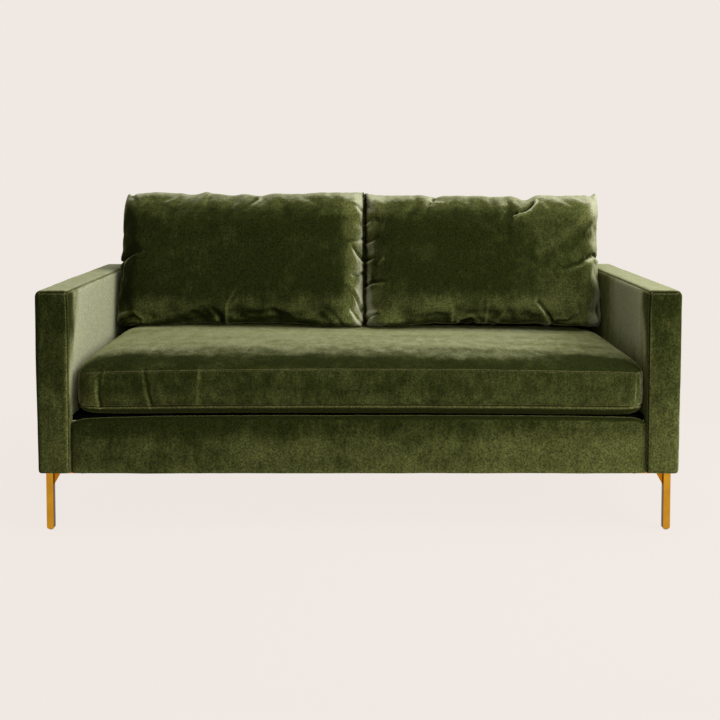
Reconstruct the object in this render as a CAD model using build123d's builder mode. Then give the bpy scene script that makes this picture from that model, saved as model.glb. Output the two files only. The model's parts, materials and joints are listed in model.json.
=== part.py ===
from build123d import *
import os
from math import atan, cos, degrees, sin

# A two-seat loveseat: two padded track arms, a sprung seat box and a raked back, all in velvet over a
# hardwood frame, on four slim metal legs, with one loose seat cushion and two loose back cushions.
# Millimetres. +Z is up, the front faces -Y, and the origin is on the floor under the middle.

# Overall sizes
overall_width = 1727.0
overall_depth = 870.0
leg_height = 158.0          # floor to the underside of the body
arm_height = 647.0          # floor to the top of an arm
back_height = 745.0         # floor to the top of the fixed back
arm_width = 92.0
back_bottom_thickness = 165.0   # of the fixed back, at the seat deck
back_top_thickness = 95.0       # of the fixed back, at its top edge

# Cloth and padding
velvet = 2.0
dust_cloth = 1.0
dust_inset = 12.0           # dust cloth edge to the body's outline
arm_pad = 12.0
arm_edge = 14.0             # rounding of an arm's edges
hem = 22.0                  # cloth turned under the body
rail_pad = 12.0
rail_edge = 12.0            # rounding of the front rail's top edge
rail_setback = 6.0          # front rail's velvet behind the arms' front
roll_depth = 15.0           # how far the front roll reaches over the rail
back_pad = 30.0
back_top_pad = 12.0
back_edge = 12.0            # rounding of the back's edges
deck_pad = 15.0
foam_relief = 1.0           # extra rounding of foam inside a cover

# Hardwood
rail_thick = 40.0
rail_top_height = 307.0     # floor to the top of the padded front rail and the seat deck
arm_rail_height = 110.0
arm_top_board = 28.0
arm_post = 60.0
arm_middle_post = 45.0
tenon_side = 30.0
tenon_length = 18.0
tenon_gap = 0.2
upright_width = 45.0
back_rail_thick = 25.0
back_top_board = 28.0
tack_rail_height = 50.0
tack_rail_lift = 20.0       # tack rail above the seat deck
stretcher_width = 40.0
stretcher_drop = 40.0       # stretcher below the tops of the rails
corner_block = 70.0
block_drop = 12.0           # corner blocks below the tops of the rails

# Suspension
spring_wire = 3.8
spring_width = 50.0
spring_count = 7
spring_bars = 21            # cross bars of one zigzag spring
spring_seat = 13.0          # end bar to the edge of the rail it is clipped to
spring_gap = 0.1            # spring over the rails it is clipped to
clip_sheet = 1.2
clip_length = 16.0
clip_depth = 18.0
clip_gap = 0.1
tie_wire = 3.2
tie_gap = 0.1
strap_width = 50.0
strap_thick = 2.5
strap_count = 6

# Legs
bar_width = 20.0
bar_depth = 18.0
bar_edge = 2.0
bar_toe = 6.0               # rounding of the foot, seen from the front
leg_inset = 25.0            # bar to the arm's outer face
leg_setback = 10.0          # bar and plate to the arm's front face
plate_length = 105.0
plate_width = 80.0
plate_thick = 4.0
gusset_thick = 5.0
gusset_height = 32.0
gusset_reach = 18.0
glide_radius = 5.5
glide_thick = 2.0
glide_stem_radius = 3.0
glide_stem = 12.0
glide_gap = 0.1

# Screws and bolts
screw_radius = 2.75
screw_length = 34.0
screw_head_radius = 5.0
screw_head = 4.5
screw_edge = 10.0           # screw to the plate's inner end
screw_front = 18.0          # screw to the plate's front or rear edge
screw_back = 12.0           # inner screw to the plate's other edge
hole_gap = 0.1
bolt_radius = 4.0
bolt_head_radius = 9.0
bolt_head = 6.0
bolt_short = 1.0            # bolt's end inside the tee nut's face
nut_flange_radius = 11.0
nut_flange = 2.0
nut_barrel_radius = 5.5
nut_barrel = 14.0
arm_bolt_inset = 120.0      # arm bolts to the front and rear rails
back_bolt_inset = 60.0      # outer back bolts to the corner blocks
back_bolt_share = 0.42      # inner back bolts' distance from the middle, of the outer ones'

# Seat cushion
seat_rest = 0.3             # under the loose cushions
seat_side_gap = 7.0         # cushion to each arm
seat_front_gap = 3.0        # cushion behind the arms' front
seat_rear_gap = 1.0         # cushion to the fixed back
seat_lower_seam = 27.0      # lower seam above the deck
seat_boxing = 101.0         # between the two seams
seat_crown = 43.0           # crown above the upper seam
seat_draw_sides = 9.0
seat_draw_front = 5.0
seat_corner = 28.0

# Back cushions
pillow_height = 420.0
pillow_thick = 195.0
pillow_seam = 95.0          # edge seam in front of the cushion's back
pillow_side_gap = 4.0       # cushion to the arm
pillow_middle_gap = 3.0     # cushion to the middle plane
pillow_draw_sides = 9.0
pillow_draw_top = 10.0
pillow_corner = 16.0
fill_gap = 0.5              # stuffing inside its cover

# Zips
seat_zip_length = 900.0
pillow_zip_length = 480.0
tape_width = 24.0
tape_thick = 1.0
coil_width = 5.0
coil_thick = 1.5
slider_length = 11.0
slider_width = 10.0
slider_wall = 1.2
slider_gap = 0.3
tab_length = 20.0
tab_width = 6.0

# Heights and planes that several pieces share
front = -overall_depth / 2
rear = overall_depth / 2
inner_half = overall_width / 2 - arm_width
body_bottom = leg_height + dust_cloth
wood_bottom = body_bottom + velvet
deck_top = rail_top_height
seat_rail_top = deck_top - velvet - deck_pad - clip_sheet - spring_wire - 2 * spring_gap
arm_wood_top = arm_height - velvet - arm_pad
arm_wood_x = (inner_half + velvet + arm_pad, overall_width / 2 - velvet - arm_pad)
arm_wood_y = (front + velvet + arm_pad, rear - velvet - arm_pad)
arm_post_z = (wood_bottom + arm_rail_height, arm_wood_top - arm_top_board)
arm_middle = (arm_wood_x[0] + arm_wood_x[1]) / 2
rail_front = front + rail_setback + velvet + rail_pad
rail_rear = rail_front + rail_thick
roll_rear = rail_front + roll_depth
back_front = rear - back_bottom_thickness
rear_rail_front = back_front - rail_thick
back_half = inner_half - velvet
back_wood_rear = rear - velvet
back_board_top = back_height - velvet - back_top_pad
upright_top = back_board_top - back_top_board
tack_rail_z = (deck_top + tack_rail_lift, deck_top + tack_rail_lift + tack_rail_height)
rake = (back_bottom_thickness - back_top_thickness) / (back_height - deck_top)
rake_angle = atan(rake)
bolt_height = wood_bottom + arm_rail_height / 2

os.makedirs("parts", exist_ok=True)
pieces = {}


def keep(label, built):
    """Labels a finished piece, writes it and remembers it."""
    built.part.label = label
    export_step(built.part, f"parts/{label}.step")
    pieces[label] = built.part


def block(x, y, z, mode=Mode.ADD):
    """A box from its spans along the three axes, inside the part being built."""
    middle = ((x[0] + x[1]) / 2, (y[0] + y[1]) / 2, (z[0] + z[1]) / 2)
    with Locations(middle):
        Box(x[1] - x[0], y[1] - y[0], z[1] - z[0], mode=mode)


def slab(points, x, mode=Mode.ADD):
    """A prism along X from an outline of (y, z) points, inside the part being built."""
    with BuildSketch(Plane.YZ.offset(x[0])) as face:
        Polygon(*points, align=None)
    extrude(face.sketch, amount=x[1] - x[0], mode=mode)


def drill(places, radius, depth):
    """Round holes from each place along its own axis, inside the part being built."""
    with Locations(*places):
        Cylinder(radius, depth, align=(Align.CENTER, Align.CENTER, Align.MIN), mode=Mode.SUBTRACT)


def rounded_box(x, y, z, edge):
    """A box with every edge rounded but those around its underside."""
    with BuildPart() as box:
        block(x, y, z)
        fillet([e for e in box.edges() if e.center().Z > z[0] + edge], edge)
    return box.part


def twin(label, of, plane):
    """The mirror image of a finished piece."""
    with BuildPart() as image:
        mirror(pieces[of], about=plane)
    keep(label, image)


def back_face(z):
    """Where the fixed back's padded front is at a height."""
    return back_front + (z - deck_top) * rake


def back_wood(z):
    """Where the front of the back's woodwork is at a height."""
    return back_face(z) + velvet + back_pad + strap_thick


# Places of the leg screws, the arm bolts and the back bolts
bar_outer = overall_width / 2 - leg_inset
bar_inner = bar_outer - bar_width
bar_middle = (bar_outer + bar_inner) / 2
plate_inner = bar_outer - plate_length
screw_x = plate_inner + screw_edge
screw_near = overall_depth / 2 - leg_setback - screw_front
screw_far = overall_depth / 2 - leg_setback - plate_width + screw_back
plate_bottom = leg_height - plate_thick
leg_screws = [
    (side * x, end * y, plate_bottom)
    for side in (-1, 1)
    for end in (-1, 1)
    for x, y in ((screw_x, screw_near), (screw_x, screw_far), (bar_middle, screw_far))
]
arm_bolts = [
    Plane(origin=(side * (inner_half - rail_thick), y, bolt_height), x_dir=(0, 1, 0), z_dir=(side, 0, 0))
    for side in (-1, 1)
    for y in (rail_rear + arm_bolt_inset, rear_rail_front - arm_bolt_inset)
]
back_bolt_outer = inner_half - rail_thick - corner_block - back_bolt_inset
back_bolts = [
    Plane(origin=(side * share * back_bolt_outer, rear_rail_front, bolt_height), x_dir=(1, 0, 0), z_dir=(0, 1, 0))
    for side in (-1, 1)
    for share in (back_bolt_share, 1.0)
]
arm_grip = rail_thick + velvet + arm_pad + arm_wood_x[1] - arm_wood_x[0]
back_grip = rail_thick + back_rail_thick


def screw_holes():
    """Pilot holes for the leg screws."""
    drill(leg_screws, screw_radius + hole_gap, plate_thick + screw_length)


def bolt_holes():
    """Holes for the frame bolts."""
    drill(arm_bolts, bolt_radius + hole_gap, arm_grip)
    drill(back_bolts, bolt_radius + hole_gap, back_grip)


def nut_holes(places, grip):
    """Recesses for the tee nuts at the far end of each bolt."""
    barrels = [place.offset(grip - nut_barrel) for place in places]
    flanges = [place.offset(grip - nut_flange) for place in places]
    drill(barrels, nut_barrel_radius + hole_gap, nut_barrel)
    drill(flanges, nut_flange_radius + hole_gap, nut_flange)


# Left arm: a hardwood frame, a foam shell and a velvet cover
left_x = (-arm_wood_x[1], -arm_wood_x[0])
post_spans = {
    "front": (arm_wood_y[0], arm_wood_y[0] + arm_post),
    "middle": (-arm_middle_post / 2, arm_middle_post / 2),
    "rear": (arm_wood_y[1] - arm_post, arm_wood_y[1]),
}


def tenon_span(centre, grow=0.0):
    """The span of a tenon, or of its mortise when grown by the fit."""
    return (centre - tenon_side / 2 - grow, centre + tenon_side / 2 + grow)


def mortises(z):
    """Mortises for the three arm posts, inside the part being built."""
    for span in post_spans.values():
        centre = (span[0] + span[1]) / 2
        block(tenon_span(-arm_middle, tenon_gap), tenon_span(centre, tenon_gap), z, mode=Mode.SUBTRACT)


for name, span in post_spans.items():
    with BuildPart() as post:
        block(left_x, span, arm_post_z)
        centre = (span[0] + span[1]) / 2
        tenon_z = (arm_post_z[0] - tenon_length, arm_post_z[1] + tenon_length)
        block(tenon_span(-arm_middle), tenon_span(centre), tenon_z)
    keep(f"left_arm_{name}_post", post)

with BuildPart() as arm_bottom_rail:
    block(left_x, arm_wood_y, (wood_bottom, arm_post_z[0]))
    mortises((arm_post_z[0] - tenon_length - tenon_gap, arm_post_z[0]))
    screw_holes()
    bolt_holes()
    nut_holes(arm_bolts, arm_grip)
keep("left_arm_bottom_rail", arm_bottom_rail)

with BuildPart() as arm_top_rail:
    block(left_x, arm_wood_y, (arm_post_z[1], arm_wood_top))
    mortises((arm_post_z[1], arm_post_z[1] + tenon_length + tenon_gap))
keep("left_arm_top_rail", arm_top_rail)

arm_x = (-overall_width / 2, -inner_half)
arm_y = (front, rear)
arm_outer = rounded_box(arm_x, arm_y, (body_bottom, arm_height), arm_edge)
inside_x = (arm_x[0] + velvet, arm_x[1] - velvet)
inside_y = (arm_y[0] + velvet, arm_y[1] - velvet)
arm_inner_top = arm_height - velvet
arm_cavity = rounded_box(inside_x, inside_y, (wood_bottom, arm_inner_top), arm_edge - velvet)
arm_padding = rounded_box(inside_x, inside_y, (wood_bottom, arm_inner_top), arm_edge - velvet + foam_relief)

with BuildPart() as arm_foam:
    add(arm_padding)
    block(left_x, arm_wood_y, (wood_bottom, arm_wood_top), mode=Mode.SUBTRACT)
    bolt_holes()
keep("left_arm_foam", arm_foam)

with BuildPart() as arm_cover:
    add(arm_outer)
    add(arm_cavity, mode=Mode.SUBTRACT)
    hem_x = (arm_x[0] + hem, arm_x[1] - hem)
    hem_y = (arm_y[0] + hem, arm_y[1] - hem)
    block(hem_x, hem_y, (body_bottom, wood_bottom), mode=Mode.SUBTRACT)
    screw_holes()
    bolt_holes()
keep("left_arm_cover", arm_cover)

# Right arm: the left arm's mirror image
for name in ("front_post", "middle_post", "rear_post", "bottom_rail", "top_rail", "foam", "cover"):
    twin(f"right_arm_{name}", f"left_arm_{name}", Plane.YZ)

# Seat box
seat_rail_z = (wood_bottom, seat_rail_top)
stretcher_z = (wood_bottom, seat_rail_top - stretcher_drop)
stretcher_middle = (stretcher_z[0] + stretcher_z[1]) / 2
stretcher_half = stretcher_width / 2


def stretcher_tenons(grow, reach, mode):
    """Both end tenons of the centre stretcher, or their mortises."""
    z = (stretcher_middle - tenon_side / 2 - grow, stretcher_middle + tenon_side / 2 + grow)
    y = (rail_rear - reach, rear_rail_front + reach)
    block((-tenon_side / 4 - grow, tenon_side / 4 + grow), y, z, mode=mode)


with BuildPart() as seat_front_rail:
    block((-inner_half, inner_half), (rail_front, rail_rear), seat_rail_z)
    stretcher_tenons(tenon_gap, tenon_length + tenon_gap, Mode.SUBTRACT)
    screw_holes()
keep("seat_front_rail", seat_front_rail)

with BuildPart() as seat_rear_rail:
    block((-inner_half, inner_half), (rear_rail_front, back_front), seat_rail_z)
    stretcher_tenons(tenon_gap, tenon_length + tenon_gap, Mode.SUBTRACT)
    bolt_holes()
keep("seat_rear_rail", seat_rear_rail)

with BuildPart() as seat_left_rail:
    block((-inner_half, -inner_half + rail_thick), (rail_rear, rear_rail_front), seat_rail_z)
    screw_holes()
    bolt_holes()
keep("seat_left_rail", seat_left_rail)
twin("seat_right_rail", "seat_left_rail", Plane.YZ)

with BuildPart() as seat_stretcher:
    block((-stretcher_half, stretcher_half), (rail_rear, rear_rail_front), stretcher_z)
    stretcher_tenons(0.0, tenon_length, Mode.ADD)
keep("seat_centre_stretcher", seat_stretcher)

with BuildPart() as seat_corner_blocks:
    for side in (-1, 1):
        for y, inward in ((rail_rear, 1), (rear_rail_front, -1)):
            corner_x = side * (inner_half - rail_thick)
            with BuildSketch(Plane.XY.offset(wood_bottom)):
                Polygon(
                    (corner_x, y),
                    (corner_x - side * corner_block, y),
                    (corner_x, y + inward * corner_block),
                    align=None,
                )
            extrude(amount=seat_rail_top - block_drop - wood_bottom)
keep("seat_corner_blocks", seat_corner_blocks)

# Zigzag springs, each clipped to the front and the rear rail
spring_z = seat_rail_top + spring_gap + spring_wire / 2
spring_front = rail_rear - spring_seat
spring_rear = rear_rail_front + spring_seat
bar_pitch = (spring_rear - spring_front) / (spring_bars - 1)
spring_pitch = 2 * (inner_half - rail_thick) / spring_count
spring_places = [(number - (spring_count - 1) / 2) * spring_pitch for number in range(spring_count)]
bar_half = (spring_width - bar_pitch) / 2

with BuildPart() as one_spring:
    with BuildLine() as spring_line:
        for number in range(spring_bars):
            y = spring_front + number * bar_pitch
            side = 1 if number % 2 == 0 else -1
            Line((-side * bar_half, y, spring_z), (side * bar_half, y, spring_z))
            if number < spring_bars - 1:
                ThreePointArc(
                    (side * bar_half, y, spring_z),
                    (side * spring_width / 2, y + bar_pitch / 2, spring_z),
                    (side * bar_half, y + bar_pitch, spring_z),
                )
    with BuildSketch(Plane(origin=(-bar_half, spring_front, spring_z), x_dir=(0, 1, 0), z_dir=(1, 0, 0))):
        Circle(spring_wire / 2)
    sweep(path=spring_line.line)

with BuildPart() as seat_springs:
    with Locations(*[(x, 0, 0) for x in spring_places]):
        add(one_spring.part)
keep("seat_springs", seat_springs)

with BuildPart() as spring_clips:
    for x in spring_places:
        for y in (spring_front, spring_rear):
            groove = spring_wire / 2 + clip_gap
            clip_x = (x - clip_length / 2, x + clip_length / 2)
            clip_y = (y - clip_depth / 2, y + clip_depth / 2)
            block(clip_x, clip_y, (seat_rail_top, deck_top - velvet - deck_pad))
            groove_z = (seat_rail_top, seat_rail_top + spring_wire + 2 * spring_gap)
            block(clip_x, (y - groove, y + groove), groove_z, mode=Mode.SUBTRACT)
keep("spring_clips", spring_clips)

with BuildPart() as spring_tie_wires:
    tie_z = seat_rail_top - tie_gap - tie_wire / 2
    for share in (1 / 3, 2 / 3):
        y = spring_front + share * (spring_rear - spring_front)
        with Locations(Location((0, y, tie_z), (0, 90, 0))):
            Cylinder(tie_wire / 2, 2 * (inner_half - rail_thick))
keep("spring_tie_wires", spring_tie_wires)

# Seat deck and padded front rail
deck_pad_z = (deck_top - velvet - deck_pad, deck_top - velvet)
seat_x = (-inner_half, inner_half)

with BuildPart() as deck_padding:
    block(seat_x, (roll_rear, back_front), deck_pad_z)
keep("deck_pad", deck_padding)

with BuildPart() as deck_cloth:
    block(seat_x, (roll_rear + velvet, back_front), (deck_pad_z[1], deck_top))
keep("deck_cloth", deck_cloth)

with BuildPart() as front_rail_foam:
    block(seat_x, (rail_front - rail_pad, rail_front), (wood_bottom, deck_pad_z[1]))
    block(seat_x, (rail_front, roll_rear), (seat_rail_top, deck_pad_z[1]))
    roll = front_rail_foam.edges().filter_by(Axis.X).group_by(Axis.Z)[-1].sort_by(Axis.Y)[0]
    fillet(roll, rail_edge - velvet + foam_relief)
keep("front_rail_foam", front_rail_foam)

rail_cover_y = (front + rail_setback, roll_rear + velvet)

with BuildPart() as rail_cavity:
    block(seat_x, (rail_front - rail_pad, roll_rear + 2 * velvet), (wood_bottom, deck_pad_z[1]))
    roll = rail_cavity.edges().filter_by(Axis.X).group_by(Axis.Z)[-1].sort_by(Axis.Y)[0]
    fillet(roll, rail_edge - velvet)

with BuildPart() as front_rail_cover:
    block(seat_x, rail_cover_y, (body_bottom, deck_top))
    roll = front_rail_cover.edges().filter_by(Axis.X).group_by(Axis.Z)[-1].sort_by(Axis.Y)[0]
    fillet(roll, rail_edge)
    add(rail_cavity.part, mode=Mode.SUBTRACT)
    open_y = (rail_cover_y[0] + hem + velvet, rail_cover_y[1])
    block(seat_x, open_y, (body_bottom, wood_bottom), mode=Mode.SUBTRACT)
    screw_holes()
keep("front_rail_cover", front_rail_cover)

# Fixed back
upright_outline = (
    (back_front, wood_bottom),
    (back_front, deck_top),
    (back_wood(deck_top), deck_top),
    (back_wood(upright_top), upright_top),
    (back_wood_rear, upright_top),
    (back_wood_rear, wood_bottom),
)
tack_outline = (
    (back_wood(tack_rail_z[0]), tack_rail_z[0]),
    (back_wood(tack_rail_z[1]), tack_rail_z[1]),
    (back_wood(tack_rail_z[1]) + back_rail_thick, tack_rail_z[1]),
    (back_wood(tack_rail_z[0]) + back_rail_thick, tack_rail_z[0]),
)
back_x = (-back_half, back_half)
bottom_rail_y = (back_front, back_front + back_rail_thick)

with BuildPart() as tack_rail:
    slab(tack_outline, back_x)
keep("back_tack_rail", tack_rail)

with BuildPart() as back_bottom_rail:
    block(back_x, bottom_rail_y, seat_rail_z)
    bolt_holes()
    nut_holes(back_bolts, back_grip)
    screw_holes()
keep("back_bottom_rail", back_bottom_rail)

with BuildPart() as back_top_rail:
    top_outline = (
        (back_wood(upright_top), upright_top),
        (back_wood(back_board_top), back_board_top),
        (back_wood_rear, back_board_top),
        (back_wood_rear, upright_top),
    )
    slab(top_outline, back_x)
keep("back_top_rail", back_top_rail)

upright_spans = {
    "left": (-back_half, -back_half + upright_width),
    "centre": (-upright_width / 2, upright_width / 2),
    "right": (back_half - upright_width, back_half),
}
for name, span in upright_spans.items():
    with BuildPart() as upright:
        slab(upright_outline, span)
        slab(tack_outline, span, mode=Mode.SUBTRACT)
        block(span, bottom_rail_y, seat_rail_z, mode=Mode.SUBTRACT)
        screw_holes()
    keep(f"back_{name}_upright", upright)

strap_gap = 2 * (back_half - upright_width) / strap_count
with BuildPart() as back_webbing:
    strap_outline = (
        (back_wood(tack_rail_z[0]), tack_rail_z[0]),
        (back_wood(back_board_top), back_board_top),
        (back_wood(back_board_top) - strap_thick, back_board_top),
        (back_wood(tack_rail_z[0]) - strap_thick, tack_rail_z[0]),
    )
    for number in range(strap_count):
        x = (number - (strap_count - 1) / 2) * strap_gap
        slab(strap_outline, (x - strap_width / 2, x + strap_width / 2))
keep("back_webbing", back_webbing)

back_foam_top = back_height - velvet
foam_outline = (
    (back_face(deck_top) + velvet, deck_top),
    (back_face(back_foam_top) + velvet, back_foam_top),
    (back_wood_rear, back_foam_top),
    (back_wood_rear, back_board_top),
    (back_wood(back_board_top) - strap_thick, back_board_top),
    (back_wood(deck_top) - strap_thick, deck_top),
)
with BuildPart() as back_foam:
    slab(foam_outline, back_x)
    crest = back_foam.edges().filter_by(Axis.X).group_by(Axis.Z)[-1].sort_by(Axis.Y)[0]
    fillet(crest, back_edge - velvet + foam_relief)
keep("back_foam", back_foam)

cover_outline = (
    (back_face(deck_top), deck_top),
    (back_face(back_height), back_height),
    (rear, back_height),
    (rear, deck_top),
)
cavity_outline = (
    (back_face(deck_top) + velvet, deck_top),
    (back_face(back_foam_top) + velvet, back_foam_top),
    (rear, back_foam_top),
    (rear, deck_top),
)
with BuildPart() as back_cavity:
    slab(cavity_outline, back_x)
    crest = back_cavity.edges().filter_by(Axis.X).group_by(Axis.Z)[-1].sort_by(Axis.Y)[0]
    fillet(crest, back_edge - velvet)

with BuildPart() as back_cover:
    slab(cover_outline, seat_x)
    crest = back_cover.edges().filter_by(Axis.X).group_by(Axis.Z)[-1].sort_by(Axis.Y)[0]
    fillet(crest, back_edge)
    add(back_cavity.part, mode=Mode.SUBTRACT)
keep("back_cover", back_cover)

with BuildPart() as outside_back:
    block(back_x, (back_wood_rear, rear), (body_bottom, back_foam_top))
keep("outside_back_panel", outside_back)

# Dust cloth under the body
with BuildPart() as dust_cover:
    dust_x = (-overall_width / 2 + dust_inset, overall_width / 2 - dust_inset)
    dust_y = (front + dust_inset, rear - dust_inset)
    block(dust_x, dust_y, (leg_height, body_bottom))
    screw_holes()
keep("dust_cover", dust_cover)

# Legs: bar, gussets and plate welded into one, a glide under each, and the screws
leg_front = front + leg_setback
bar_rear = leg_front + bar_depth
with BuildPart() as front_right_leg:
    block((bar_inner, bar_outer), (leg_front, bar_rear), (glide_thick, plate_bottom))
    fillet(front_right_leg.edges().filter_by(Axis.Y).group_by(Axis.Z)[0], bar_toe)
    fillet(front_right_leg.edges().filter_by(Axis.Z), bar_edge)
    block((plate_inner, bar_outer), (leg_front, leg_front + plate_width), (plate_bottom, leg_height))
    fillet(front_right_leg.edges().filter_by(Axis.Z).sort_by(Axis.X)[0:2], bar_toe)
    with BuildSketch(Plane.XZ.offset(-(leg_front + bar_rear + gusset_thick) / 2)):
        Polygon(
            (bar_inner, plate_bottom),
            (bar_inner - gusset_reach, plate_bottom),
            (bar_inner, plate_bottom - gusset_height),
            align=None,
        )
    extrude(amount=gusset_thick)
    gusset_outline = (
        (bar_rear, plate_bottom),
        (bar_rear + gusset_reach, plate_bottom),
        (bar_rear, plate_bottom - gusset_height),
    )
    slab(gusset_outline, (bar_middle - gusset_thick / 2, bar_middle + gusset_thick / 2))
    screw_holes()
    stem_place = (bar_middle, (leg_front + bar_rear) / 2, glide_thick)
    drill([stem_place], glide_stem_radius + glide_gap, glide_stem + glide_gap)
keep("front_right_leg", front_right_leg)
twin("front_left_leg", "front_right_leg", Plane.YZ)
twin("rear_right_leg", "front_right_leg", Plane.XZ)
twin("rear_left_leg", "rear_right_leg", Plane.YZ)

with BuildPart() as leg_glides:
    for side in (-1, 1):
        for end in (-1, 1):
            foot = (side * bar_middle, -end * (leg_front + bar_rear) / 2)
            with Locations((foot[0], foot[1], glide_thick / 2)):
                Cylinder(glide_radius, glide_thick)
            with Locations((foot[0], foot[1], glide_thick + glide_stem / 2)):
                Cylinder(glide_stem_radius, glide_stem)
keep("leg_glides", leg_glides)

with BuildPart() as leg_screw_set:
    with Locations(*leg_screws):
        up = (Align.CENTER, Align.CENTER, Align.MIN)
        Cylinder(screw_radius, plate_thick + screw_length - hole_gap, align=up)
        Cylinder(screw_head_radius, screw_head, align=(Align.CENTER, Align.CENTER, Align.MAX))
keep("leg_screws", leg_screw_set)

# Bolts that hold the arms and the back to the seat box
with BuildPart() as frame_bolts:
    for places, grip in ((arm_bolts, arm_grip), (back_bolts, back_grip)):
        with Locations(*places):
            Cylinder(bolt_radius, grip - bolt_short, align=(Align.CENTER, Align.CENTER, Align.MIN))
            Cylinder(bolt_head_radius, bolt_head, align=(Align.CENTER, Align.CENTER, Align.MAX))
keep("frame_bolts", frame_bolts)

with BuildPart() as frame_tee_nuts:
    for places, grip in ((arm_bolts, arm_grip), (back_bolts, back_grip)):
        with Locations(*[place.offset(grip) for place in places]):
            down = (Align.CENTER, Align.CENTER, Align.MAX)
            Cylinder(nut_flange_radius, nut_flange, align=down)
            Cylinder(nut_barrel_radius, nut_barrel, align=down)
    bolt_holes()
keep("frame_tee_nuts", frame_tee_nuts)


def edge(start, end, inward, draw):
    """One side of a cushion's outline, drawn in towards the middle between its corners."""
    if draw == 0:
        Line(start, end)
    else:
        middle = ((start[0] + end[0]) / 2 + inward[0] * draw, (start[1] + end[1]) / 2 + inward[1] * draw)
        ThreePointArc(start, middle, end)


def outline(plane, x, y, draws, corner):
    """A cushion's section: four sides drawn in by (left, right, low, high), with rounded corners."""
    left, right, low, high = draws
    with BuildSketch(plane) as section:
        with BuildLine():
            edge((x[0], y[0]), (x[1], y[0]), (0, 1), low)
            edge((x[1], y[0]), (x[1], y[1]), (-1, 0), right)
            edge((x[1], y[1]), (x[0], y[1]), (0, -1), high)
            edge((x[0], y[1]), (x[0], y[0]), (1, 0), left)
        make_face()
        fillet(section.vertices(), corner)
    return section.sketch


# Seat cushion: flat below, boxed between two seams and crowned above
seat_bottom = deck_top + seat_rest
lower_seam = deck_top + seat_lower_seam
upper_seam = lower_seam + seat_boxing
seat_top = upper_seam + seat_crown
seat_middle = (lower_seam + upper_seam) / 2
seat_cushion_x = (-inner_half + seat_side_gap, inner_half - seat_side_gap)
seat_cushion_y = (front + seat_front_gap, back_front - seat_rear_gap)
seat_sections = (
    (seat_bottom, 40.0),
    (seat_bottom + 0.45 * seat_lower_seam, 12.0),
    (lower_seam, 0.0),
    (upper_seam, 0.0),
    (upper_seam + 0.45 * seat_crown, 24.0),
    (upper_seam + 0.80 * seat_crown, 62.0),
    (seat_top, 125.0),
)
seat_draws = (seat_draw_sides, seat_draw_sides, seat_draw_front, 0.0)


def seat_form(inset, mode=Mode.ADD):
    """The seat cushion's form, or the same form inset on every side."""
    sections = []
    for z, reach in seat_sections:
        level = z + inset if z < seat_middle else z - inset
        shrink = reach + inset
        x = (seat_cushion_x[0] + shrink, seat_cushion_x[1] - shrink)
        y = (seat_cushion_y[0] + shrink, seat_cushion_y[1] - shrink)
        sections.append(outline(Plane.XY.offset(level), x, y, seat_draws, seat_corner))
    loft(sections, ruled=True, mode=mode)


with BuildPart() as seat_cover:
    seat_form(0.0)
    seat_form(velvet, mode=Mode.SUBTRACT)
keep("seat_cushion_cover", seat_cover)

with BuildPart() as seat_core:
    seat_form(velvet + fill_gap)
keep("seat_cushion_core", seat_core)

# Left back cushion: rests along its straight lower edge and leans on the raked back
lean = Plane(
    origin=(0, back_front - seat_rest, deck_top),
    x_dir=(1, 0, 0),
    z_dir=(0, -cos(rake_angle), sin(rake_angle)),
)
pillow_x = (-inner_half + pillow_side_gap, -pillow_middle_gap)
pillow_low = (seat_top + seat_rest - deck_top - pillow_seam * sin(rake_angle)) / cos(rake_angle)
pillow_y = (pillow_low, pillow_low + pillow_height)
pillow_sections = (
    (0.0, 60.0),
    (28.0, 22.0),
    (pillow_seam, 0.0),
    (150.0, 22.0),
    (182.0, 66.0),
    (pillow_thick, 120.0),
)
pillow_draws = (pillow_draw_sides, pillow_draw_sides, 0.0, pillow_draw_top)


def pillow_form(inset, mode=Mode.ADD):
    """A back cushion's form, or the same form inset on every side."""
    sections = []
    for depth, reach in pillow_sections:
        level = depth
        if depth < pillow_seam:
            level = depth + inset
        if depth > pillow_seam:
            level = depth - inset
        shrink = reach + inset
        x = (pillow_x[0] + shrink, pillow_x[1] - shrink)
        y = (pillow_y[0] + shrink, pillow_y[1] - shrink)
        sections.append(outline(lean.offset(level), x, y, pillow_draws, pillow_corner))
    loft(sections, ruled=True, mode=mode)


with BuildPart() as pillow_cover:
    pillow_form(0.0)
    pillow_form(velvet, mode=Mode.SUBTRACT)
keep("left_back_cushion_cover", pillow_cover)

with BuildPart() as pillow_fill:
    pillow_form(velvet + fill_gap)
keep("left_back_cushion_fill", pillow_fill)


# Zips: a tape with its coil on the face of a cushion, and a slider that runs along the coil
def zip_tape(plane, length):
    """A tape and its coil, lying on a plane along its X."""
    up = (Align.CENTER, Align.CENTER, Align.MIN)
    with BuildPart(plane) as tape:
        Box(length, tape_width, tape_thick, align=up)
        Box(length, coil_width, tape_thick + coil_thick, align=up)
    return tape


def zip_slider(plane, length):
    """A slider with its pull tab at the closed end of a tape."""
    up = (Align.CENTER, Align.CENTER, Align.MIN)
    hollow = coil_thick + slider_gap
    with BuildPart(plane) as slider:
        with Locations((length / 2 - slider_length / 2, 0, tape_thick + slider_gap)):
            Box(slider_length, slider_width, hollow + slider_wall, align=up)
            Box(slider_length, coil_width + 2 * slider_gap, hollow, align=up, mode=Mode.SUBTRACT)
        with Locations((length / 2 - slider_length - tab_length / 2, 0, tape_thick + slider_gap + hollow)):
            Box(tab_length, tab_width, slider_wall, align=up)
    return slider


seat_zip = Plane(origin=(0, seat_cushion_y[1], seat_middle), x_dir=(-1, 0, 0), z_dir=(0, 1, 0))
keep("seat_zip_tape", zip_tape(seat_zip, seat_zip_length))
keep("seat_zip_slider", zip_slider(seat_zip, seat_zip_length))

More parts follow.
